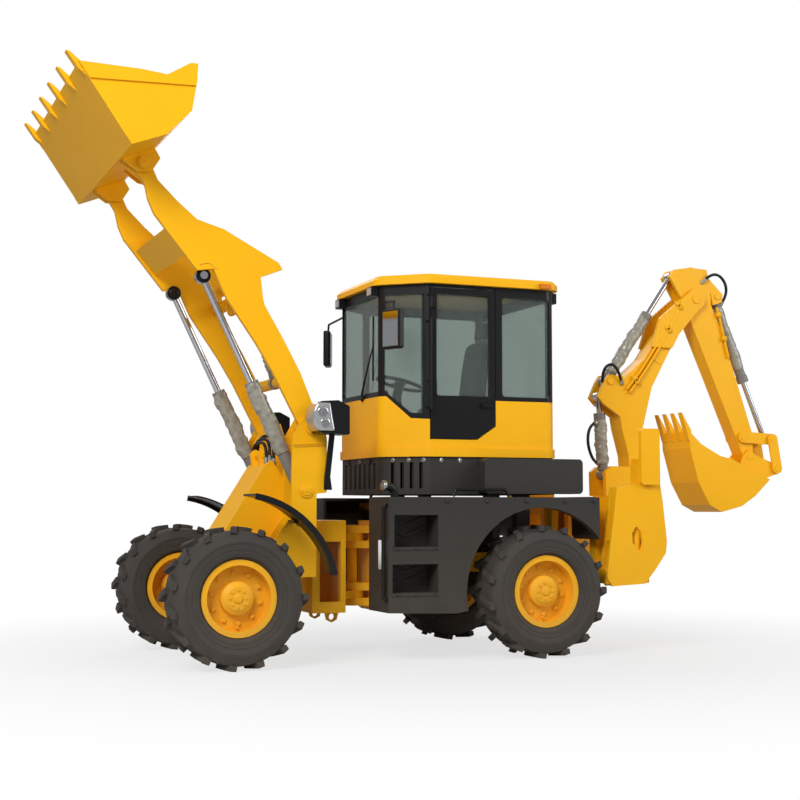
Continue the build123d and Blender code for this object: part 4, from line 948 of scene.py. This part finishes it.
def cushion_arrays(centre, half, lean, channels):
    """Padded block: a superellipsoid whose rounded-square section shrinks to a pole at each end, dented by
    soft channels across its width and turned back by the lean about the machine's cross axis."""
    rise = np.linspace(-pi / 2, pi / 2, CUSHION_RINGS)[:, None]
    turn = np.linspace(0, 2 * pi, CUSHION_AROUND, endpoint=False)[None]
    ring = power(np.cos(rise), 0.35)
    x = half[0] * ring * power(np.cos(turn), 0.3)
    y = half[1] * ring * power(np.sin(turn), 0.3)
    z = half[2] * power(np.sin(rise), 0.55) * np.ones_like(turn)
    crown = 1 + 0.10 * (1 - (x / half[0]) ** 2) * (1 - (y / half[1]) ** 2)
    z = z * crown / 1.10
    dent = sum(np.exp(-((x / half[0] - c) / 0.06) ** 2) for c in channels) if channels else 0
    z = z - np.sign(z) * 0.010 * dent * (np.abs(z) > 0.4 * half[2])
    shape = np.stack([x * cos(lean) - z * sin(lean), y, x * sin(lean) + z * cos(lean)], -1)
    return (shape + np.asarray(centre, float)).reshape(-1, 3), capped_faces(CUSHION_RINGS, CUSHION_AROUND)


class LOADER_OT_seat(bpy.types.Operator):
    """Replace the plain seat with padded cushions on a suspension base."""

    bl_idname = "loader.seat"
    bl_label = "Driver's Seat"

    def execute(self, context):
        pads = [
            ("seat_cushion", (-860, 0, 1962), (0.215, 0.225, 0.056), 0.0, (-0.4, 0.0, 0.4)),
            ("seat_back", (-1102, 0, 2290), (0.275, 0.215, 0.052), radians(99), (-0.5, -0.15, 0.2, 0.55)),
            ("seat_headrest", (-1180, 0, 2656), (0.066, 0.115, 0.036), radians(99), ()),
        ]
        for name, centre, half, lean, channels in pads:
            piece = outward(new_mesh(name, *cushion_arrays(at(*centre), half, lean, channels), "Seat Cloth",
                                     "rear_body", slot="seat_cover"))
            if name == "seat_cushion":
                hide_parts("seat")
        height = np.linspace(1592, 1903, BELLOWS_FOLDS)
        fold = 1 - 0.06 * (np.arange(BELLOWS_FOLDS) % 2)
        square = np.linspace(0, 2 * pi, BELLOWS_AROUND, endpoint=False)
        edge = np.maximum(np.abs(np.cos(square)), np.abs(np.sin(square)))
        x = (-860 + 158 * fold[:, None] * (np.cos(square) / edge)[None]) / 1000 + HINGE_X
        y = 168 * fold[:, None] * (np.sin(square) / edge)[None] / 1000
        z = np.broadcast_to(height[:, None] / 1000, x.shape)
        outward(new_mesh("seat_bellows", np.stack([x, y, z], -1),
                         capped_faces(BELLOWS_FOLDS, BELLOWS_AROUND),
                         "Control Plastic", "rear_body", False, "control_plastic"))
        posts = [tube_arrays(points((-1150, y, 2540), (-1168, y, 2640)), 0.008, 10) for y in (-50, 50)]
        outward(new_mesh("seat_headrest_posts", *join(posts), "Zinc Steel", "rear_body",
                         slot="polished_rod"))
        return {"FINISHED"}


def seen_directly(tree):
    """One for rays from the camera, straight or through glass, and none for all others."""
    seen = node(tree, "ShaderNodeLightPath")
    return math_node(tree, "MAXIMUM", seen.outputs["Is Camera Ray"], seen.outputs["Is Transmission Ray"])


class LOADER_OT_studio(bpy.types.Operator):
    """Add the pale floor, the soft lamps, the sky and the camera."""

    bl_idname = "loader.studio"
    bl_label = "Studio and Camera"

    def execute(self, context):
        scene = context.scene
        scene.view_settings.view_transform = "Standard"
        world = bpy.data.worlds.new("Studio Sky")
        world.use_nodes = True
        scene.world = world
        tree = world.node_tree
        tree.nodes.clear()
        direct = seen_directly(tree)
        soft = node(tree, "ShaderNodeBackground", strength=SKY_STRENGTH, color=(0.95, 0.97, 1.0, 1.0))
        white = node(tree, "ShaderNodeBackground", strength=1.0, color=(1.0, 1.0, 1.0, 1.0))
        mixed = node(tree, "ShaderNodeMixShader", [(0, direct), (1, soft.outputs[0]),
                                                   (2, white.outputs[0])])
        node(tree, "ShaderNodeOutputWorld", [("Surface", mixed.outputs[0])])
        mesh = bpy.data.meshes.new("studio_floor")
        corners = [(x * FLOOR_SPAN, y * FLOOR_SPAN, 0) for x, y in ((-1, -1), (1, -1), (1, 1), (-1, 1))]
        mesh.from_pydata(corners, [], [(0, 1, 2, 3)])
        floor = bpy.data.objects.new("studio_floor", mesh)
        scene.collection.objects.link(floor)
        material, tree, shader = new_material("Studio Floor")
        shader.inputs["Base Color"].default_value = (0.55, 0.55, 0.55, 1)
        shader.inputs["Roughness"].default_value = 0.9
        direct = seen_directly(tree)
        place = node(tree, "ShaderNodeTexCoord").outputs["Object"]
        away = node(tree, "ShaderNodeVectorMath", [(0, place)], operation="LENGTH").outputs["Value"]
        fade = node(tree, "ShaderNodeMapRange", [("Value", away)], interpolation_type="SMOOTHSTEP",
                    from_min=1.5, from_max=6.0, to_min=0.7)
        glow = node(tree, "ShaderNodeEmission", strength=1.0, color=(1.0, 1.0, 1.0, 1.0))
        share = math_node(tree, "MULTIPLY", direct, fade.outputs["Result"])
        mixed = node(tree, "ShaderNodeMixShader", [(0, share), (1, shader.outputs[0]),
                                                   (2, glow.outputs[0])])
        tree.links.new(tree.nodes["Material Output"].inputs["Surface"], mixed.outputs[0])
        mesh.materials.append(material)
        lamps = [("key", (9.0, 9.0, 9.5), 1550.0, 6.0), ("side", (-9.0, 7.0, 6.0), 480.0, 6.0),
                 ("back", (-2.0, -9.0, 8.0), 380.0, 7.0)]
        for label, place, power, size in lamps:
            light = bpy.data.lights.new(f"studio_{label}", "AREA")
            light.energy, light.size = power, size
            lamp = bpy.data.objects.new(f"studio_{label}", light)
            lamp.location = place
            lamp.rotation_euler = (Vector(LAMP_AIM) - Vector(place)).to_track_quat("-Z", "Y").to_euler()
            scene.collection.objects.link(lamp)
        lens = bpy.data.cameras.new("photo_view")
        lens.sensor_width, lens.lens = 36.0, 65.47
        camera = bpy.data.objects.new("photo_view", lens)
        camera.location = CAMERA_PLACE
        level = cos(CAMERA_PITCH)
        ahead = Vector((-sin(CAMERA_YAW) * level, -cos(CAMERA_YAW) * level, sin(CAMERA_PITCH)))
        camera.rotation_euler = ahead.to_track_quat("-Z", "Y").to_euler()
        scene.collection.objects.link(camera)
        scene.camera = camera
        return {"FINISHED"}


class LOADER_PT_dressing(bpy.types.Panel):
    """Lists the settings and the steps that dress the machine."""

    bl_idname = "LOADER_PT_dressing"
    bl_label = "Backhoe Loader"
    bl_space_type = "VIEW_3D"
    bl_region_type = "UI"
    bl_category = "Loader"

    def draw(self, context):
        for group in (context.scene.loader_colours, context.scene.loader_sizes):
            for key in group.__annotations__:
                self.layout.prop(group, key)
        for step in STEPS:
            self.layout.operator(step.bl_idname)


STEPS = (LOADER_OT_finishes, LOADER_OT_hoses, LOADER_OT_wheel_details, LOADER_OT_lamps, LOADER_OT_wraps,
         LOADER_OT_pipes, LOADER_OT_pin_caps, LOADER_OT_fasteners, LOADER_OT_trim, LOADER_OT_seat,
         LOADER_OT_studio)
CLASSES = (LoaderColours, LoaderSizes, *STEPS, LOADER_PT_dressing)


def register():
    """Register the classes and hang the settings on the scene."""
    for item in CLASSES:
        bpy.utils.register_class(item)
    bpy.types.Scene.loader_colours = bpy.props.PointerProperty(type=LoaderColours)
    bpy.types.Scene.loader_sizes = bpy.props.PointerProperty(type=LoaderSizes)


def unregister():
    """Take the settings and the classes away again."""
    del bpy.types.Scene.loader_sizes
    del bpy.types.Scene.loader_colours
    for item in reversed(CLASSES):
        bpy.utils.unregister_class(item)


def main():
    """Register and run every step in order."""
    register()
    for step in STEPS:
        family, name = step.bl_idname.split(".")
        getattr(getattr(bpy.ops, family), name)()


if __name__ == "__main__":
    main()
